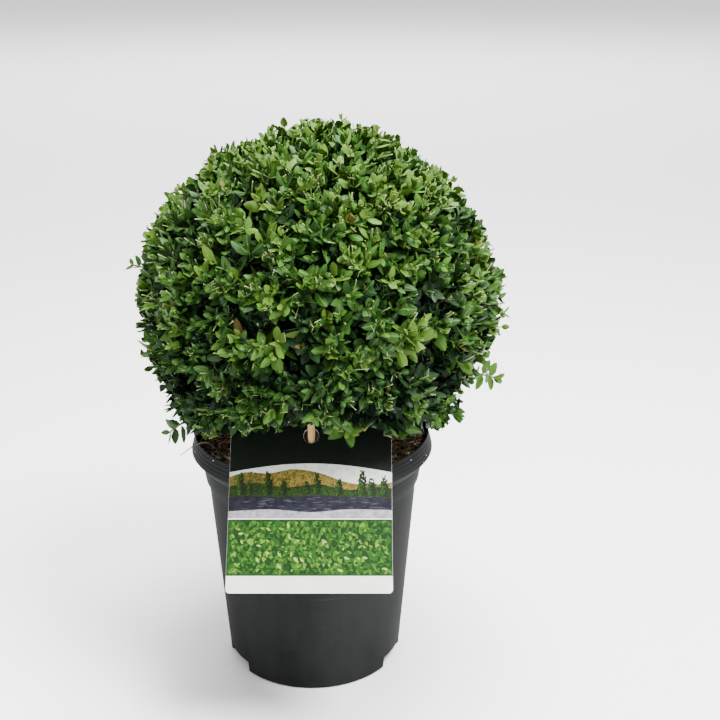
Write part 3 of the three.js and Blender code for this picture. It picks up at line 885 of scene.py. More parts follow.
def flat_shape(name, outlines, low, high, material):
    """A thin flat shape on the card, cut from outlines in millimetres, between two heights."""
    data = bpy.data.curves.new(name, "CURVE")
    data.dimensions = "2D"
    data.fill_mode = "BOTH"
    data.extrude = (high - low) / 2 * MM
    for outline in outlines:
        spline = data.splines.new("POLY")
        spline.points.add(len(outline) - 1)
        for point, (x, y) in zip(spline.points, outline):
            point.co = (x * MM, y * MM, 0, 1)
        spline.use_cyclic_u = True
    data.materials.append(material)
    shape = bpy.data.objects.new(name, data)
    scene.collection.objects.link(shape)
    only(shape)
    bpy.ops.object.convert(target="MESH")
    shape = named(bpy.context.object, name)
    shape.matrix_world = label_frame() @ Matrix.Translation((0, 0, (low + high) / 2 * MM))
    apply_place(shape)
    bpy.ops.object.mode_set(mode="EDIT")
    bpy.ops.mesh.select_all(action="SELECT")
    bpy.ops.mesh.remove_doubles(threshold=0.001 * MM)
    bpy.ops.mesh.normals_make_consistent(inside=False)
    bpy.ops.object.mode_set(mode="OBJECT")
    return shape


def small_shapes(name, outlines, low, high, materials, slots):
    """Many small shapes on the card, as thin prisms from low up to each one's own height."""
    outlines = np.array(outlines)
    count, points, _ = outlines.shape
    heights = np.stack([np.full(count, low), high], 1)
    flat = np.repeat(outlines[:, None], 2, axis=1)
    places = np.concatenate([flat, np.broadcast_to(heights[:, :, None, None], (count, 2, points, 1))], -1)
    turn = np.array(label_frame())
    places = places.reshape(-1, 3) @ turn[:3, :3].T + turn[:3, 3] / MM
    a = np.arange(points)
    b = (a + 1) % points
    sides = np.stack([a, b, b + points, a + points], 1)
    caps = np.stack([a[::-1], a + points])
    offset = (np.arange(count) * 2 * points)[:, None, None]
    walls = (offset + sides[None]).reshape(-1, 4)
    ends = (offset + caps[None]).reshape(-1, points)
    slots = np.concatenate([np.repeat(slots, points), np.repeat(slots, 2)])
    return mesh_piece(name, places, [walls, ends], materials, slots, smooth=False)


def rolling(low_edge, heights, steps=33):
    """A band across the card with a rolling top: heights are (x, y) points joined smoothly."""
    x = np.linspace(-PRINT_HALF, PRINT_HALF, steps)
    points = np.array(heights)
    y = np.interp(x, points[:, 0], points[:, 1])
    y = smoothed(y, 3)
    return [(-PRINT_HALF, low_edge), (PRINT_HALF, low_edge), *zip(x[::-1], y[::-1])]


def leaf_outline(x, y, length, width, turn):
    """A pointed leaf from its foot at (x, y), as ten points."""
    share = np.array([0, 0.25, 0.5, 0.75, 0.92, 1, 0.92, 0.75, 0.5, 0.25])
    half = np.array([0, -0.38, -0.5, -0.4, -0.2, 0, 0.2, 0.4, 0.5, 0.38])
    along = share * length
    across = half * width
    cos, sin = math.cos(turn), math.sin(turn)
    return np.stack([x + along * cos - across * sin, y + along * sin + across * cos], 1)


def leaf_print(rng):
    """The green band of the print: rows of overlapping sprigs in five greens."""
    outlines = []
    slots = []
    top, bottom = LABEL_HIGH - BAND_FROM_TOP, LABEL_HIGH - STRIP_FROM_TOP
    for row in range(SPRIG_ROWS):
        y = top - 1 - (row + 0.2) * (top - bottom - 7) / (SPRIG_ROWS - 1)
        for column in range(SPRIGS_PER_ROW):
            x = -PRINT_HALF + 3.2 + (column + 0.5 * (row % 2)) * SPRIG_STEP
            lean = rng.normal(0, 0.3)
            for side in (-2, -1, 0, 1, 2):
                turn = -math.pi / 2 + side * 0.62 + lean
                length = rng.uniform(4.2, 6) * (1 - 0.1 * abs(side))
                leaf = leaf_outline(x, y, length, length * 0.42, turn)
                inside = abs(leaf[:, 0]).max() < PRINT_HALF - 0.2 and leaf[:, 1].min() > bottom + 0.2
                if inside and leaf[:, 1].max() < top - 0.2:
                    outlines.append(leaf)
                    slots.append(int(np.clip(rng.normal(1.6 + 0.9 * side / 2, 1.1), 0, 4)))
    low = 2 * INK + LABEL_THICKNESS
    high = low + INK * rng.uniform(0.3, 3, len(outlines))
    return small_shapes("label_leaves", outlines, low, high, inks("print_leaf", PRINT_GREENS, 700), slots)


def pointed_trees(rng):
    """Slim pointed trees on the hills of the print, each a body of small leaves lit from one side."""
    leaves = []
    slots = []
    for foot_x, foot_y, height, width in PRINT_TREES:
        for _ in range(int(height * width * 2.2)):
            up = 1 - math.sqrt(rng.uniform(0, 1))
            across = rng.uniform(-1, 1)
            half = width / 2 * (0.25 + 0.75 * math.sin(math.pi * min(1, 0.28 + up * 0.72)))
            x, y = foot_x + across * half, foot_y + up * height
            leaves.append(leaf_outline(x, y, 2.0, 0.9, math.pi / 2 + rng.normal(0, 0.5)))
            slots.append(int(np.clip(1 - across * 1.1 + rng.normal(0, 0.5), 0, 2)))
    low = LABEL_THICKNESS + 2 * INK
    high = low + INK * (1.2 + rng.uniform(0, 2, len(leaves)))
    return small_shapes("label_trees", leaves, low, high, inks("print_tree", PRINT_TREE_GREENS, 900), slots)


def hill_print(rng):
    """Dabs of leaf over the hills of the print, warm in the middle, and glints on its water."""
    outlines, slots, tops = [], [], []
    for upper, lower, count, lengths, width, tilt, top, tones in PRINT_DABS:
        for _ in range(count):
            x = rng.uniform(-1, 1) * (PRINT_HALF - lengths[1])
            high = np.interp(x, *np.array(upper).T) - 0.6
            low = np.interp(x, *np.array(lower).T)
            y = low + (high - low - lengths[0] * (tilt > 1)) * rng.uniform(0, 1)
            length = rng.uniform(*lengths)
            turn = tilt + rng.normal(0, tilt * 0.5)
            outlines.append(leaf_outline(x, y, length, length * width, turn))
            warmth = 0.5 + 0.5 * math.cos(x / 24) + rng.normal(0, 0.3)
            slots.append(tones[int(np.clip((1 - warmth) * len(tones), 0, len(tones) - 1))])
            tops.append(top)
    low = LABEL_THICKNESS + INK / 2
    high = LABEL_THICKNESS + INK * (np.array(tops) + rng.uniform(0, 0.3, len(tops)))
    tones = inks("print_hill", PRINT_HILL_TONES, 900)
    return small_shapes("label_hill_leaves", outlines, low, high, tones, slots)


def make_label():
    """The card, white through, with its print as thin inks one above the other. It has no words."""
    top = LABEL_THICKNESS
    white = mottled("card_white", *CARD_WHITE, 60, 0.4, Specular_IOR_Level=0.45)
    card = flat_shape("label_card", [card_outline(), card_hole()], 0, top, white)
    soften(card, 0.12, 1, 30)
    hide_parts("label")
    high = LABEL_HIGH
    band = high - BAND_FROM_TOP
    strip = high - STRIP_FROM_TOP
    half = PRINT_HALF
    head = arc((half - LABEL_CORNER, high - LABEL_CORNER - 0.3), LABEL_CORNER, 0, 90)
    head += arc((-half + LABEL_CORNER, high - LABEL_CORNER - 0.3), LABEL_CORNER, 90, 180)
    brow = [(x, high - HEAD_FROM_TOP + 9 * math.cos(x / 63 * 1.35)) for x in np.linspace(-half, half, 25)]
    band_edge = [(-half, strip), (half, strip), (half, band), (-half, band)]
    outlines = {
        "sky": [rolling(band + 1, [(-63, 14), (63, 14)])],
        "far_hills": [rolling(band + 1, PRINT_FAR_HILLS)],
        "hills": [rolling(band + 1, PRINT_HILLS)],
        "water": [rolling(band + 1, PRINT_WATER)],
        "path": [rolling(band + 1, PRINT_PATH)],
        "head": [head + brow, card_hole(0.15)],
        "band": [band_edge],
    }
    pieces = [card]
    for part, (layers, dark, pale) in PRINT_LAYERS.items():
        ink = mottled(f"label_{part}_ink", dark, pale, 240, 0.5, detail=5, Specular_IOR_Level=0.15)
        pieces.append(flat_shape("label_" + part, outlines[part], top, top + INK * layers, ink))
    rng = np.random.default_rng(SEED + 2)
    pieces += [leaf_print(rng), pointed_trees(rng), hill_print(rng)]
    for piece in pieces:
        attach(piece, "root")


# ------ the peg


def make_peg():
    """A whittled wooden peg with a rounded, slightly crushed top."""
    radius = PEG_RADIUS
    shoulder = PEG_TOP_Z - PEG_DOME
    outline = [(0.6, PEG_LOW_Z)] + [(radius, z) for z in np.linspace(PEG_LOW_Z + 0.8, shoulder, 24)]
    for turn in (0.4, 0.8, 1.15, 1.4):
        outline.append((radius * math.cos(turn), shoulder + PEG_DOME * math.sin(turn)))
    peg = turned("wooden_peg", outline, 24)
    hole_middle = hole_place(LABEL_THICKNESS / 2)
    for vertex in peg.data.vertices:
        x, y, z = vertex.co / MM
        turn = math.atan2(y, x)
        facet = 0.12 * math.cos(7 * turn) + 0.2 * lumps((x, y, z), (2, 2, 14))
        scale = 1 + min(0, facet - 0.25) / radius
        vertex.co.x = x * scale * MM + LABEL_X * MM
        vertex.co.y = y * scale * MM + hole_middle.y
    peg.data.update()
    finish_look(peg, mottled("peg_wood", *PEG_WOOD, 420, 0.75, 0.0004, (1, 1, 0.07), 5))
    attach(peg, "root")
    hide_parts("peg")


# ------ the clipped outline


def clipped_outline():
    """The ball's middle, and the distance to its clipped skin over azimuth and elevation, in mm."""
    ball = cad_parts["foliage_ball"]
    low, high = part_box("foliage_ball")
    half = (high.x - low.x + high.y - low.y) / 4
    middle = Vector(((low.x + high.x) / 2, (low.y + high.y) / 2, high.z - half))
    skin = BVHTree.FromPolygons([v.co for v in ball.data.vertices], [p.vertices for p in ball.data.polygons])
    turns = np.radians(np.arange(0, 360 + SKIN_STEP, SKIN_STEP))
    rises = np.radians(np.arange(-90, 90 + SKIN_STEP, SKIN_STEP))
    reach = np.zeros((len(rises), len(turns)))
    for i, rise in enumerate(rises):
        for j, turn in enumerate(turns):
            aim = Vector((math.cos(rise) * math.cos(turn), math.cos(rise) * math.sin(turn), math.sin(rise)))
            hit = skin.ray_cast(middle, aim)
            reach[i, j] = hit[3] / MM if hit[0] else 0
    return np.array(middle) / MM, reach


BALL_MIDDLE, REACH = clipped_outline()


def skin_distance(places):
    """How far each place is from the ball's middle, and how far the skin is in that direction."""
    offset = places - BALL_MIDDLE
    distance = np.linalg.norm(offset, axis=-1)
    aim = offset / np.maximum(distance, 1e-6)[..., None]
    turn = np.degrees(np.arctan2(aim[..., 1], aim[..., 0])) % 360 / SKIN_STEP
    rise = (np.degrees(np.arcsin(np.clip(aim[..., 2], -1, 1))) + 90) / SKIN_STEP
    i = np.clip(rise.astype(int), 0, REACH.shape[0] - 2)
    j = np.clip(turn.astype(int), 0, REACH.shape[1] - 2)
    fi = rise - i
    fj = turn - j
    reach = (
        REACH[i, j] * (1 - fi) * (1 - fj)
        + REACH[i + 1, j] * fi * (1 - fj)
        + REACH[i, j + 1] * (1 - fi) * fj
        + REACH[i + 1, j + 1] * fi * fj
    )
    return distance, reach


# ------ sprays


def even_directions(count, rng):
    """Directions spread evenly over a sphere, each moved a little at random."""
    index = np.arange(count) + 0.5
    height = 1 - 2 * index / count
    turn = index * math.pi * (3 - math.sqrt(5))
    flat = np.sqrt(1 - height**2)
    aims = np.stack([flat * np.cos(turn), flat * np.sin(turn), height], 1)
    return unit(aims + rng.normal(0, 1 / math.sqrt(count), aims.shape))


def side_axes(axis):
    """Two directions square to each axis."""
    helper = np.where(np.abs(axis[..., 2:3]) < 0.8, UP, np.array([1.0, 0, 0]))
    first = unit(np.cross(axis, helper))
    return first, np.cross(axis, first)


def openness(aims):
    """From 0 in dense foliage to 1 where the shoots stand back and the dark inside shows."""
    hollow = np.array([noise.noise(Vector(aim) * HOLLOW_SCALE) for aim in aims])
    hollow = np.clip((hollow - 0.05) / 0.25, 0, 1)
    return hollow * np.clip(1 - 0.5 * aims[:, 2], 0.6, 1)


def aside(axis, amount, rng):
    """A small random step square to each axis."""
    first, second = side_axes(axis)
    count = len(axis)
    return first * rng.normal(0, amount, count)[:, None] + second * rng.normal(0, amount, count)[:, None]


def thin_side(aims):
    """From 0 to 1 towards the side where the crown is thin and light shows through it."""
    return np.clip((aims @ THIN_SIDE - THIN_FROM) / 0.06, 0, 1)


def make_tufts(count, depth_range, per_tuft, layer, rng):
    """Shoots in tufts: each tuft has one old cut, and its shoots rise from there to the skin."""
    aims = even_directions(count, rng)
    low = aims[:, 2] < LOW_SIDE
    reach = skin_distance(BALL_MIDDLE + aims)[1]
    open_here = openness(aims)
    share = np.where(low, 0.7, 1.0) * (1 - 0.35 * open_here) * (1 - THIN_SHARE * thin_side(aims))
    keep = (reach > LEAST_REACH) & (rng.random(count) < share)
    aims, low, reach, open_here = aims[keep], low[keep], reach[keep], open_here[keep]
    lift = np.where(low, 0.1, 0.35)[:, None] * UP
    rise = unit(aims + lift + rng.normal(0, TUFT_SCATTER, aims.shape))
    length = rng.uniform(*SPRAY_LENGTH, len(aims))
    depth = rng.uniform(*depth_range, len(aims)) + HOLLOW_DEPTH * open_here * (layer == 0)
    cut = BALL_MIDDLE + aims * (reach - depth)[:, None] - rise * length[:, None]
    first, second = side_axes(rise)
    shoots = {"tip": [], "foot": []}
    turn = rng.uniform(0, 2 * math.pi, len(aims))
    number = rng.integers(*per_tuft, len(aims))
    for shoot in range(per_tuft[1] - 1):
        has = np.flatnonzero(shoot < number)
        angle = turn[has] + shoot * 2 * math.pi / number[has] + rng.normal(0, 0.35, len(has))
        lean = rng.uniform(*SPRAY_LEAN, len(has))
        way = first[has] * np.cos(angle)[:, None] + second[has] * np.sin(angle)[:, None]
        axis = unit(rise[has] + way * lean[:, None])
        size = length[has] * rng.uniform(0.78, 1.12, len(has))
        shoots["tip"].append(cut[has] + axis * size[:, None])
        shoots["foot"].append(cut[has])
    shoots = {key: np.concatenate(value) for key, value in shoots.items()}
    shoots["layer"] = np.full(len(shoots["tip"]), layer)
    return shoots, cut


def stray_shoots():
    """The unclipped shoots that stand out of the ball, along the frame's own shoots."""
    tips, feet = [], []
    for name, (back, *_) in STRAYS.items():
        places = np.array([v.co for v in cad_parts[name].data.vertices]) / MM
        order = np.argsort(np.linalg.norm(places - BALL_MIDDLE, axis=1))
        foot, tip = places[order[:8]].mean(0), places[order[-3:]].mean(0)
        out = unit(tip - foot)
        tips.append(tip - out * back)
        feet.append(foot - out * STRAY_ROOT)
    tips, feet = np.array(tips), np.array(feet)
    return {"tip": tips, "foot": feet, "layer": np.zeros(len(tips))}


def dress_strays(sprays, strays):
    """Stray shoots turn to the light. Those with a small turn spread their leaves flat to it."""
    spacing, turn, size, lean, tone = np.array(list(STRAYS.values()))[:, 1:].T
    axis = unit(sprays["axis"][strays] + SUNWARD * lean[:, None])
    flat = unit(np.cross(axis, SUNWARD))
    first, second = side_axes(axis)
    sprays["axis"][strays] = axis
    sprays["phase"][strays] = np.arctan2((flat * second).sum(1), (flat * first).sum(1))
    sprays["twist"][strays] = np.radians(turn)
    sprays["spacing"][strays] = spacing
    sprays["vigour"][strays] = size
    sprays["spread"][strays] = 0.25
    sprays["loose"][strays] = 0.4
    sprays["sun"][strays] = SUNWARD
    sprays["clip"][strays] = LONGEST_STRAY + 1
    sprays["tone"][strays] = tone


def card_heights(places):
    """Each place on the card's own axes, in millimetres."""
    turn = np.array(label_frame().inverted())
    return places @ turn[:3, :3].T + turn[:3, 3] / MM


def clear_of_made_parts(places):
    """True for each row of places (rows, points, 3) that keeps off the rim, the mix, the peg and the card."""
    out = np.hypot(places[..., 0], places[..., 1])
    height = places[..., 2]
    in_rim = (out > RIM_INNER_RADIUS - 1) & (out < RIM_RADIUS + 0.5) & (height < POT_HEIGHT + 0.4)
    in_mix = (out < RIM_INNER_RADIUS) & (height < MIX_Z + 2.5)
    peg_y = hole_place(0).y / MM
    from_peg = np.hypot(places[..., 0] - LABEL_X, places[..., 1] - peg_y)
    in_peg = (from_peg < PEG_RADIUS + 0.5) & (height < PEG_TOP_Z + 0.5)
    on_card = card_heights(places)
    across, up = on_card[..., 0], on_card[..., 1]
    over = (np.abs(across) < LABEL_WIDTH / 2 + 1) & (up > LABEL_LOW) & (up < LABEL_HIGH + 1)
    front = (on_card[..., 2] > LABEL_THICKNESS + 0.3).all(-1)
    behind = (on_card[..., 2] < -0.3).all(-1)
    return ~(in_rim | in_mix | in_peg).any(-1) & (front | behind | ~over.any(-1))


def make_sprays(rng):
    """Every shoot of the crown, as arrays of its tip, foot, axis, layer and clip line."""
    outer, outer_cuts = make_tufts(*OUTER_TUFTS, 0, rng)
    inner, inner_cuts = make_tufts(*INNER_TUFTS, 1, rng)
    stray = stray_shoots()
    sprays = {key: np.concatenate([outer[key], inner[key], stray[key]]) for key in outer}
    last = len(sprays["tip"]) - len(stray["tip"])
    steps = np.linspace(0, 1, 6)[None, :, None]
    clear = clear_of_made_parts(sprays["foot"][:, None] * (1 - steps) + sprays["tip"][:, None] * steps)
    clear[last:] = True
    sprays = {key: value[clear] for key, value in sprays.items()}
    count = len(sprays["tip"])
    span = sprays["tip"] - sprays["foot"]
    distance, reach = skin_distance(sprays["tip"])
    sprays["axis"] = unit(span)
    sprays["length"] = np.linalg.norm(span, axis=1)
    sprays["aim"] = unit(sprays["tip"] - BALL_MIDDLE)
    sprays["depth"] = reach - distance
    sprays["clip"] = rng.normal(0.5, 1.5, count) + np.where(rng.random(count) < LONG_SHOOTS, LONG_BY, 0)
    sprays["phase"] = rng.uniform(0, 2 * math.pi, count)
    vigour = rng.normal(1.0, 0.13, count).clip(0.68, 1.35)
    sprays["vigour"] = vigour * (1.05 - 0.13 * sprays["aim"][:, 2])
    sprays["twist"] = np.full(count, math.pi / 2)
    sprays["spacing"] = PAIR_SPACING * sprays["vigour"]
    sprays["spread"] = np.zeros(count)
    sprays["loose"] = np.ones(count)
    sprays["sun"] = np.tile([0, 0, 0.15], (count, 1))
    sprays["tone"] = spray_tones_with_painted_shade(sprays, rng)
    dress_strays(sprays, slice(count - len(stray["tip"]), count))
    return sprays, np.concatenate([outer_cuts, inner_cuts, stray["foot"]])


# The leaf pairs of a spray from its tip down: size as a share of the largest, and angle to the stem.
PAIR_SIZES = (0.5, 0.8, 0.97, 1.0, 0.98, 0.92)
PAIR_ANGLES = (20, 36, 47, 55, 60, 64)


def make_leaves(sprays, rng):
    """Opposite pairs of leaves up each spray, each pair turned square to the last."""
    count = len(sprays["tip"])
    first, second = side_axes(sprays["axis"])
    parts = []
    for pair in range(LEAF_PAIRS):
        gap = 0.8 + pair * sprays["spacing"] + rng.normal(0, 0.5, count)
        gap = np.minimum(gap, sprays["length"] - 1)
        base = sprays["tip"] - sprays["axis"] * gap[:, None]
        for side in (0, 1):
            wander = rng.normal(0, 0.25, count) * sprays["loose"]
            turn = sprays["phase"] + pair * sprays["twist"] + side * math.pi + wander
            out = first * np.cos(turn)[:, None] + second * np.sin(turn)[:, None]
            angle = math.radians(PAIR_ANGLES[pair]) + sprays["spread"] + rng.normal(0, 0.2, count)
            along = sprays["axis"] * np.cos(angle)[:, None] + out * np.sin(angle)[:, None]
            face = sprays["axis"] - along * (sprays["axis"] * along).sum(1, keepdims=True)
            face = unit(face) + sprays["sun"] + rng.normal(0, 0.3, face.shape) * sprays["loose"][:, None]
            face = unit(face - along * (face * along).sum(1, keepdims=True))
            roll = (rng.normal(0, 0.45, count) * sprays["loose"])[:, None]
            face = face * np.cos(roll) + np.cross(along, face) * np.sin(roll)
            size = PAIR_SIZES[pair]
            length = LEAF_LENGTH * size * sprays["vigour"] * rng.normal(1, 0.12, count).clip(0.65, 1.35)
            width = LEAF_WIDTH * size**0.8 * rng.normal(1, 0.12, count).clip(0.7, 1.35)
            parts.append({
                "base": base,
                "along": along,
                "face": face,
                "length": length,
                "width": width * sprays["vigour"] ** 0.5,
                "pair": np.full(count, pair),
                "spray": np.arange(count),
                "curl": rng.normal(0.12, 0.13, count),
                "fold": rng.normal(-0.16, 0.24, count),
            })
    return {key: np.concatenate([part[key] for part in parts]) for key in parts[0]}


def trim_leaves(leaves, sprays):
    """Cuts each leaf where it passes the clipped skin, and drops those that begin beyond it."""
    clip = sprays["clip"][leaves["spray"]]
    steps = np.linspace(0, 1, 7)
    over = []
    for step in steps:
        place = leaves["base"] + leaves["along"] * (leaves["length"] * step)[:, None]
        distance, reach = skin_distance(place)
        over.append(distance - reach - clip)
    over = np.array(over)
    reachable = np.ones(len(clip))
    for i in range(len(steps) - 1):
        crosses = (over[i] <= 0) & (over[i + 1] > 0) & (reachable == 1)
        share = -over[i] / np.maximum(over[i + 1] - over[i], 1e-6)
        reachable = np.where(crosses, steps[i] + share * (steps[i + 1] - steps[i]), reachable)
    leaves["cut"] = reachable
    leaves["below_skin"] = -over[3]
    keep = (over[0] < 0) & (reachable > LEAST_BLADE) & clear_of_made_parts(blade_rows(leaves, PLAIN_COLUMNS))
    return {key: value[keep] for key, value in leaves.items()}


# Blade outline: share of the length, and half the width there as a share of the widest.
BLADE_OUTLINE = ((0.0, 0.0), (0.1, 0.36), (0.26, 0.84), (0.46, 1.0), (0.7, 0.86), (0.88, 0.48), (1.0, 0.08))
BLADE_ROWS = (0.0, 0.24, 0.52, 0.82, 1.0)


# Points across a blade: share of the half width, and share of the rib's half width.
PLAIN_COLUMNS = ((-1, 0), (0, 0), (1, 0))
RIBBED_COLUMNS = ((-1, 0), (0, -1), (0, 1), (1, 0))


def blade_rows(leaves, columns):
    """Points of every leaf, row by row, with a folded midrib and a slight curl: (leaves, points, 3)."""
    outline = np.array(BLADE_OUTLINE)
    side = np.cross(leaves["along"], leaves["face"])
    places = []
    for share in BLADE_ROWS:
        at = share * leaves["cut"]
        half = np.interp(at, outline[:, 0], outline[:, 1]) * leaves["width"] / 2
        bend = -leaves["curl"] * leaves["length"] * at**2
        centre = leaves["base"] + leaves["along"] * (leaves["length"] * at)[:, None]
        centre = centre + leaves["face"] * bend[:, None]
        if share == 0:
            places.append(centre)
            continue
        rib_half = np.minimum(RIB_HALF_WIDTH, half * 0.4)
        notch = NOTCH * leaves["length"] * (share == 1) * (leaves["cut"] > WHOLE)
        for edge, rib in columns:
            across = half * edge + rib_half * rib
            rise = half * leaves["fold"] * abs(edge)
            spot = centre + side * across[:, None] + leaves["face"] * rise[:, None]
            places.append(spot - leaves["along"] * (notch * (edge == 0))[:, None])
    return np.stack(places, 1)


def leaf_pieces(name, leaves, tone, ribbed):
    """Leaves as joined meshes: two halves of blade, with a paler rib between them where ribbed."""
    columns = RIBBED_COLUMNS if ribbed else PLAIN_COLUMNS
    width = len(columns)
    places = blade_rows(leaves, columns)
    points = places.shape[1]
    faces = [(0, 2 + i, 1 + i) for i in range(width - 1)]
    rib = [ribbed and i == 1 for i in range(width - 1)]
    for band in range(len(BLADE_ROWS) - 2):
        for i in range(width - 1):
            a = 1 + band * width + i
            b = a + width
            faces += [(a, a + 1, b + 1), (a, b + 1, b)]
            rib += [ribbed and i == 1] * 2
    faces = np.array(faces)
    rib = np.array(rib)
    block = (np.arange(len(places)) * points)[:, None, None] + faces[None]
    materials = [MATERIALS["leaf_" + key] for key in LEAF_TONES]
    materials += [MATERIALS["rib_" + key] for key in RIB_TONES]
    rib_slot = len(LEAF_TONES) + (tone > 3)
    slot = np.where(rib[None], rib_slot[:, None], tone[:, None])
    made = []
    per_piece = MOST_TRIANGLES // len(faces)
    for start in range(0, len(places), per_piece):
        stop = min(len(places), start + per_piece)
        part = places[start:stop].reshape(-1, 3)
        index = (block[start:stop] - start * points).reshape(-1, 3)
        slots = slot[start:stop].ravel()
        made.append(mesh_piece(f"{name}_{len(made) + 1}", part, [index], materials, slots))
    return made


def cut_edges(leaves, rng):
    """The dried edge along each clipped leaf."""
    dried = (leaves["cut"] < WHOLE) & (rng.random(len(leaves["cut"])) < DRIED_CUTS)
    places = blade_rows({key: value[dried] for key, value in leaves.items()}, PLAIN_COLUMNS)
    ends = places[:, -3:]
    radii = np.tile([0.22, 0.26, 0.22], (len(ends), 1))
    return tubes("cut_edges", ends, radii, 3, [MATERIALS["cut_edge"]])


# ------ limbs and twigs


def tubes(name, paths, radii, sides, materials):
    """Round tubes along paths (count, rings, 3) with radii (count, rings), closed at both ends.
    A second material goes on the last stretch and the end of each."""
    count, rings = radii.shape
    along = np.empty_like(paths)
    along[:, 1:-1] = paths[:, 2:] - paths[:, :-2]
    along[:, 0] = paths[:, 1] - paths[:, 0]
    along[:, -1] = paths[:, -1] - paths[:, -2]
    along = unit(along)
    whole = unit(paths[:, -1] - paths[:, 0])
    first, second = side_axes(whole)
    first = unit(first[:, None] - along * (first[:, None] * along).sum(-1, keepdims=True))
    second = np.cross(along, first)
    turn = np.arange(sides) * 2 * math.pi / sides
    way = first[:, :, None] * np.cos(turn)[:, None] + second[:, :, None] * np.sin(turn)[:, None]
    places = (paths[:, :, None] + radii[:, :, None, None] * way).reshape(-1, 3)
    a = np.arange(sides)
    b = (a + 1) % sides
    band = np.stack([a, b, sides + b, sides + a], 1)
    quads = np.concatenate([step * sides + band for step in range(rings - 1)])
    offset = (np.arange(count) * rings * sides)[:, None, None]
    walls = (offset + quads[None]).reshape(-1, 4)
    ends = np.stack([a[::-1], (rings - 1) * sides + a])
    caps = (offset + ends[None]).reshape(-1, sides)
    if len(materials) == 1:
        return mesh_piece(name, places, [walls, caps], materials)
    wall_slots = np.tile(np.repeat(np.arange(rings - 1) == rings - 2, sides), count)
    cap_slots = np.tile([0, 1], count)
    return mesh_piece(name, places, [walls, caps], materials, np.concatenate([wall_slots, cap_slots]))


def limb_tips():
    """Where the stem and each bough end, which way they head and how thick they are there."""
    tips = []
    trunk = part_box("main_stem")
    axis = np.array(((trunk[0].x + trunk[1].x) / 2, (trunk[0].y + trunk[1].y) / 2, 0)) / MM
    for name in LIMBS:
        co = np.array([v.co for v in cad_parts[name].data.vertices]) / MM
        if name == "main_stem":
            order = np.argsort(co[:, 2])
        else:
            low_end = np.array([axis[0], axis[1], co[:, 2].min()])
            order = np.argsort(np.linalg.norm(co - low_end, axis=1))
        end = co[order[-11:]].mean(0)
        back = co[order[len(order) // 2 - 12:len(order) // 2 + 12]].mean(0)
        spread = np.linalg.norm(co[order[-11:]] - end, axis=1).max()
        tips.append({"place": end, "heading": unit(end - back), "radius": spread})
    return tips


def grow(tips, cuts, rng):
    """Branches from each limb's end to every tuft's cut: a group of tufts is divided again and
    again, and each fork stands as far back from its tufts as their number needs."""
    starts = np.array([tip["place"] + LIMB_REACH * tip["heading"] for tip in tips])
    nearest = np.argmin(np.linalg.norm(cuts[:, None] - starts[None], axis=2), axis=1)
    branches = []

    def add(start, heading, end, arriving, radius, end_radius):
        span = np.linalg.norm(end - start)
        lead = start + heading * span * 0.35
        branches.append((start, lead, end - arriving * span * 0.3, end, radius, end_radius))

    def divide(start, heading, group, radius, power):
        if len(group) == 1:
            end = cuts[group[0]]
            add(start, heading, end, unit(end - BALL_MIDDLE), radius, TWIG_END_RADIUS)
            return
        centre = cuts[group].mean(0)
        away = np.linalg.norm(centre - start)
        stand_off = STAND_OFF * (len(group) / len(cuts)) ** FORK_SPREAD
        step = np.clip(away - stand_off, 3.0, max(3.0, away * 0.8))
        toward = unit(unit(centre - start) * 0.7 + heading * 0.3 + rng.normal(0, 0.08, 3))
        fork = start + toward * step
        relative = unit(cuts[group] - fork)
        spread = relative - relative.mean(0)
        axis = np.linalg.svd(spread, full_matrices=False)[2][0]
        order = np.argsort(spread @ axis)
        at = int(np.clip(round(len(group) * rng.uniform(0.36, 0.64)), 1, len(group) - 1))
        add(start, heading, fork, toward, radius, TWIG_END_RADIUS * len(group) ** power)
        for half in (group[order[:at]], group[order[at:]]):
            divide(fork, toward, half, TWIG_END_RADIUS * len(half) ** power, power)

    for number, tip in enumerate(tips):
        group = np.flatnonzero(nearest == number)
        power = math.log(max(tip["radius"], 1.0) / TWIG_END_RADIUS) / math.log(max(len(group), 2))
        if len(group):
            divide(tip["place"] - tip["heading"] * 2, tip["heading"], group, tip["radius"], power)
    return branches


def limb_arrays(rows, steps):
    """Paths and radii of a list of (four points that steer a curve, start radius, end radius)."""
    share = np.linspace(0, 1, steps)[None, :, None]
    start, lead, arrive, end = [np.array([row[i] for row in rows])[:, None] for i in range(4)]
    back = 1 - share
    paths = start * back**3 + lead * (3 * back**2 * share) + arrive * (3 * back * share**2) + end * share**3
    start = np.array([row[4] for row in rows])[:, None]
    end = np.array([row[5] for row in rows])[:, None]
    return paths, start + (end - start) * share[..., 0]


def make_branches(cuts, rng):
    rows = grow(limb_tips(), cuts, rng)
    made = []
    for name, thick, steps, sides in (("branches", True, 6, 7), ("twigs", False, 4, 4)):
        chosen = [row for row in rows if (row[4] > THICK_TWIG) == thick]
        paths, radii = limb_arrays(chosen, steps)
        bark = [MATERIALS["branch_bark" if thick else "twig_bark"]]
        made.append(tubes(name, paths, radii, sides, bark))
    return made


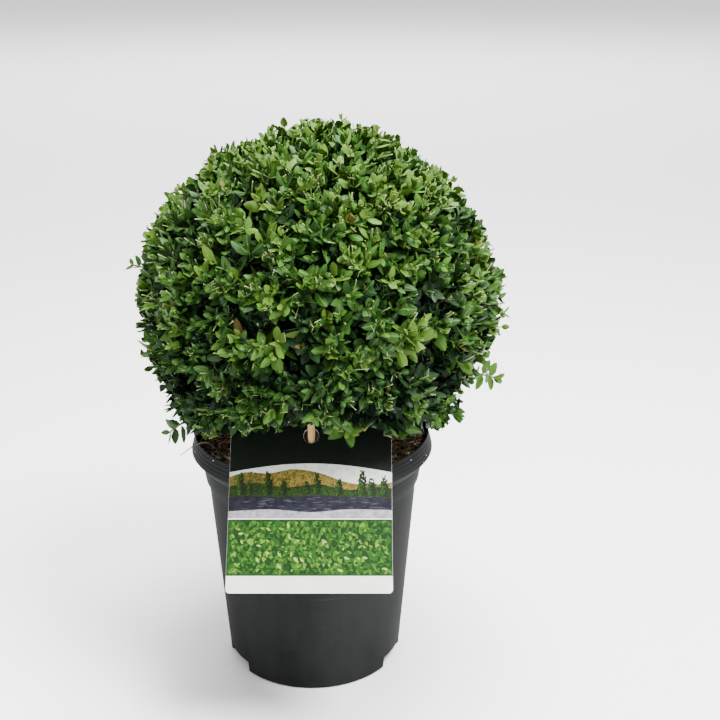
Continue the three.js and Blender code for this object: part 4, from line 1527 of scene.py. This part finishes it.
def make_stems(sprays, leaves, rng):
    """The green stem of each leafy shoot, bent a little on its way, with a dried end where it was cut.
    Under the ball nothing is clipped, so there a stem ends at its outermost leaves."""
    count = len(sprays["tip"])
    outermost = np.full(count, LEAF_PAIRS)
    np.minimum.at(outermost, leaves["spray"], leaves["pair"])
    leafy = outermost < LEAF_PAIRS - 1
    under = sprays["aim"][:, 2] < LOW_SIDE
    bend = aside(sprays["axis"], STEM_BEND, rng)
    cut = (rng.random(count) < CUT_STEMS) & ~under
    bare = np.minimum(outermost * sprays["spacing"], sprays["length"] - 3)
    beyond = np.where(cut, rng.uniform(0, 2.2, count), 0) - np.where(under, bare, 0)
    end = sprays["tip"] + sprays["axis"] * beyond[:, None]
    straight = np.linalg.norm(end - sprays["foot"], axis=1) * LEAFY_SHARE
    middle = end - sprays["axis"] * straight[:, None] + bend
    near_end = end - sprays["axis"] * 1.1
    paths = np.stack([sprays["foot"], middle, near_end, end], 1)
    radii = STEM_RADIUS * np.where(cut[:, None], (1.25, 1, 0.85, 0.8), (1.25, 1, 0.8, 0.6))
    thick = np.where(sprays["clip"] > LONGEST_STRAY, STRAY_STEM, 1) * sprays["vigour"] ** 0.7
    radii = radii * thick[:, None]
    made = []
    for name, chosen, end_tone in (("stems", ~cut, "shoot_green"), ("clipped_stems", cut, "cut_edge")):
        chosen = chosen & leafy
        skin = [MATERIALS["shoot_green"], MATERIALS[end_tone]]
        made.append(tubes(name, paths[chosen], radii[chosen], 4, skin))
    return made


def make_stubs(sprays, rng):
    """Bare ends of clipped side shoots, thin and pale, among the leaves at the skin."""
    at_skin = (sprays["layer"] == 0) & (sprays["depth"] < STUB_DEPTH) & (sprays["aim"][:, 2] > LOW_SIDE)
    chosen = np.flatnonzero(at_skin & (rng.random(len(at_skin)) < STUB_SHARE))
    chosen = np.repeat(chosen, STUBS_PER_SHOOT)
    count = len(chosen)
    foot = sprays["tip"][chosen] - sprays["axis"][chosen] * rng.uniform(6, 20, count)[:, None]
    axis = unit(sprays["axis"][chosen] + rng.normal(0, 0.36, (count, 3)))
    length = rng.uniform(*STUB_LENGTH, count)
    distance, reach = skin_distance(foot + axis * length[:, None])
    length = length - np.maximum(distance - reach - rng.normal(0.4, 0.9, count), 0)
    long_enough = length > SHORTEST_STUB
    foot, axis, length = foot[long_enough], axis[long_enough], length[long_enough]
    count = len(length)
    share = np.array([0, 0.5, 0.93, 1])
    bow = aside(axis, STUB_BEND, rng)[:, None] * (share * (1 - share) * 4)[None, :, None]
    paths = foot[:, None] + axis[:, None] * (length[:, None] * share)[..., None] + bow
    radii = STUB_RADIUS * np.array([1.1, 1.0, 0.9, 0.85]) * rng.uniform(0.75, 1.2, count)[:, None]
    clear = clear_of_made_parts(paths)
    skin = [MATERIALS["stub_green"], MATERIALS["stub_end"]]
    return tubes("clipped_side_shoots", paths[clear], radii[clear], 4, skin)


def spray_tones_with_painted_shade(sprays, rng):
    """The tone of each spray: fresh outside and on top, dark inside and below. Dark inside is partly old
    leaves and partly painted shade; lighter on top and darker below is painted light and shade.
    """
    count = len(sprays["tip"])
    height = sprays["aim"][:, 2]
    # Depth darkens partly as older leaves and partly as painted shade inside the ball; low height darkens as
    # painted shade under the top light.
    age_and_painted_shade = sprays["depth"] / AGE_AND_SHADE_DEPTH + 0.6 * (1 - height) / 2 + 0.01 + rng.normal(0, 0.14, count)
    return np.clip((age_and_painted_shade * TONES_PER_AGE_AND_SHADE).astype(int), 0, DARKEST_TONE)


MATERIALS = {"leaf_" + tone: leaf_material("leaf_" + tone, rgb) for tone, rgb in LEAF_TONES.items()}
MATERIALS.update({"rib_" + tone: leaf_material("rib_" + tone, rgb) for tone, rgb in RIB_TONES.items()})
MATERIALS.update({tone: leaf_material(tone, rgb) for tone, rgb in WOOD_TONES.items()})


def make_foliage():
    rng = np.random.default_rng(SEED)
    sprays, cuts = make_sprays(rng)
    leaves = trim_leaves(make_leaves(sprays, rng), sprays)
    tone = sprays["tone"][leaves["spray"]]
    older = (leaves["pair"] > 2) & (rng.random(len(tone)) < 0.5)
    tone = np.clip(tone + older - (leaves["pair"] == 0), 0, DARKEST_TONE)
    tone = np.where(rng.random(len(tone)) < DEAD_LEAVES, DEAD_TONE, tone)
    shown = (leaves["below_skin"] < RIBBED_DEPTH) & (tone < DEAD_TONE)
    pieces = []
    for name, chosen, ribbed in (("outer_leaves", shown, True), ("inner_leaves", ~shown, False)):
        some = {key: value[chosen] for key, value in leaves.items()}
        pieces += leaf_pieces(name, some, tone[chosen], ribbed)
    pieces.append(cut_edges(leaves, rng))
    pieces += make_stems(sprays, leaves, rng)
    pieces += make_branches(cuts, rng)
    pieces.append(make_stubs(sprays, np.random.default_rng(SEED + 7)))
    for piece in pieces:
        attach(piece, "root")
    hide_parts("foliage_ball", *STRAYS)


make_camera()
make_light()
make_floor()
make_pot()
make_mix()
make_trunk()
make_label()
make_peg()
make_foliage()
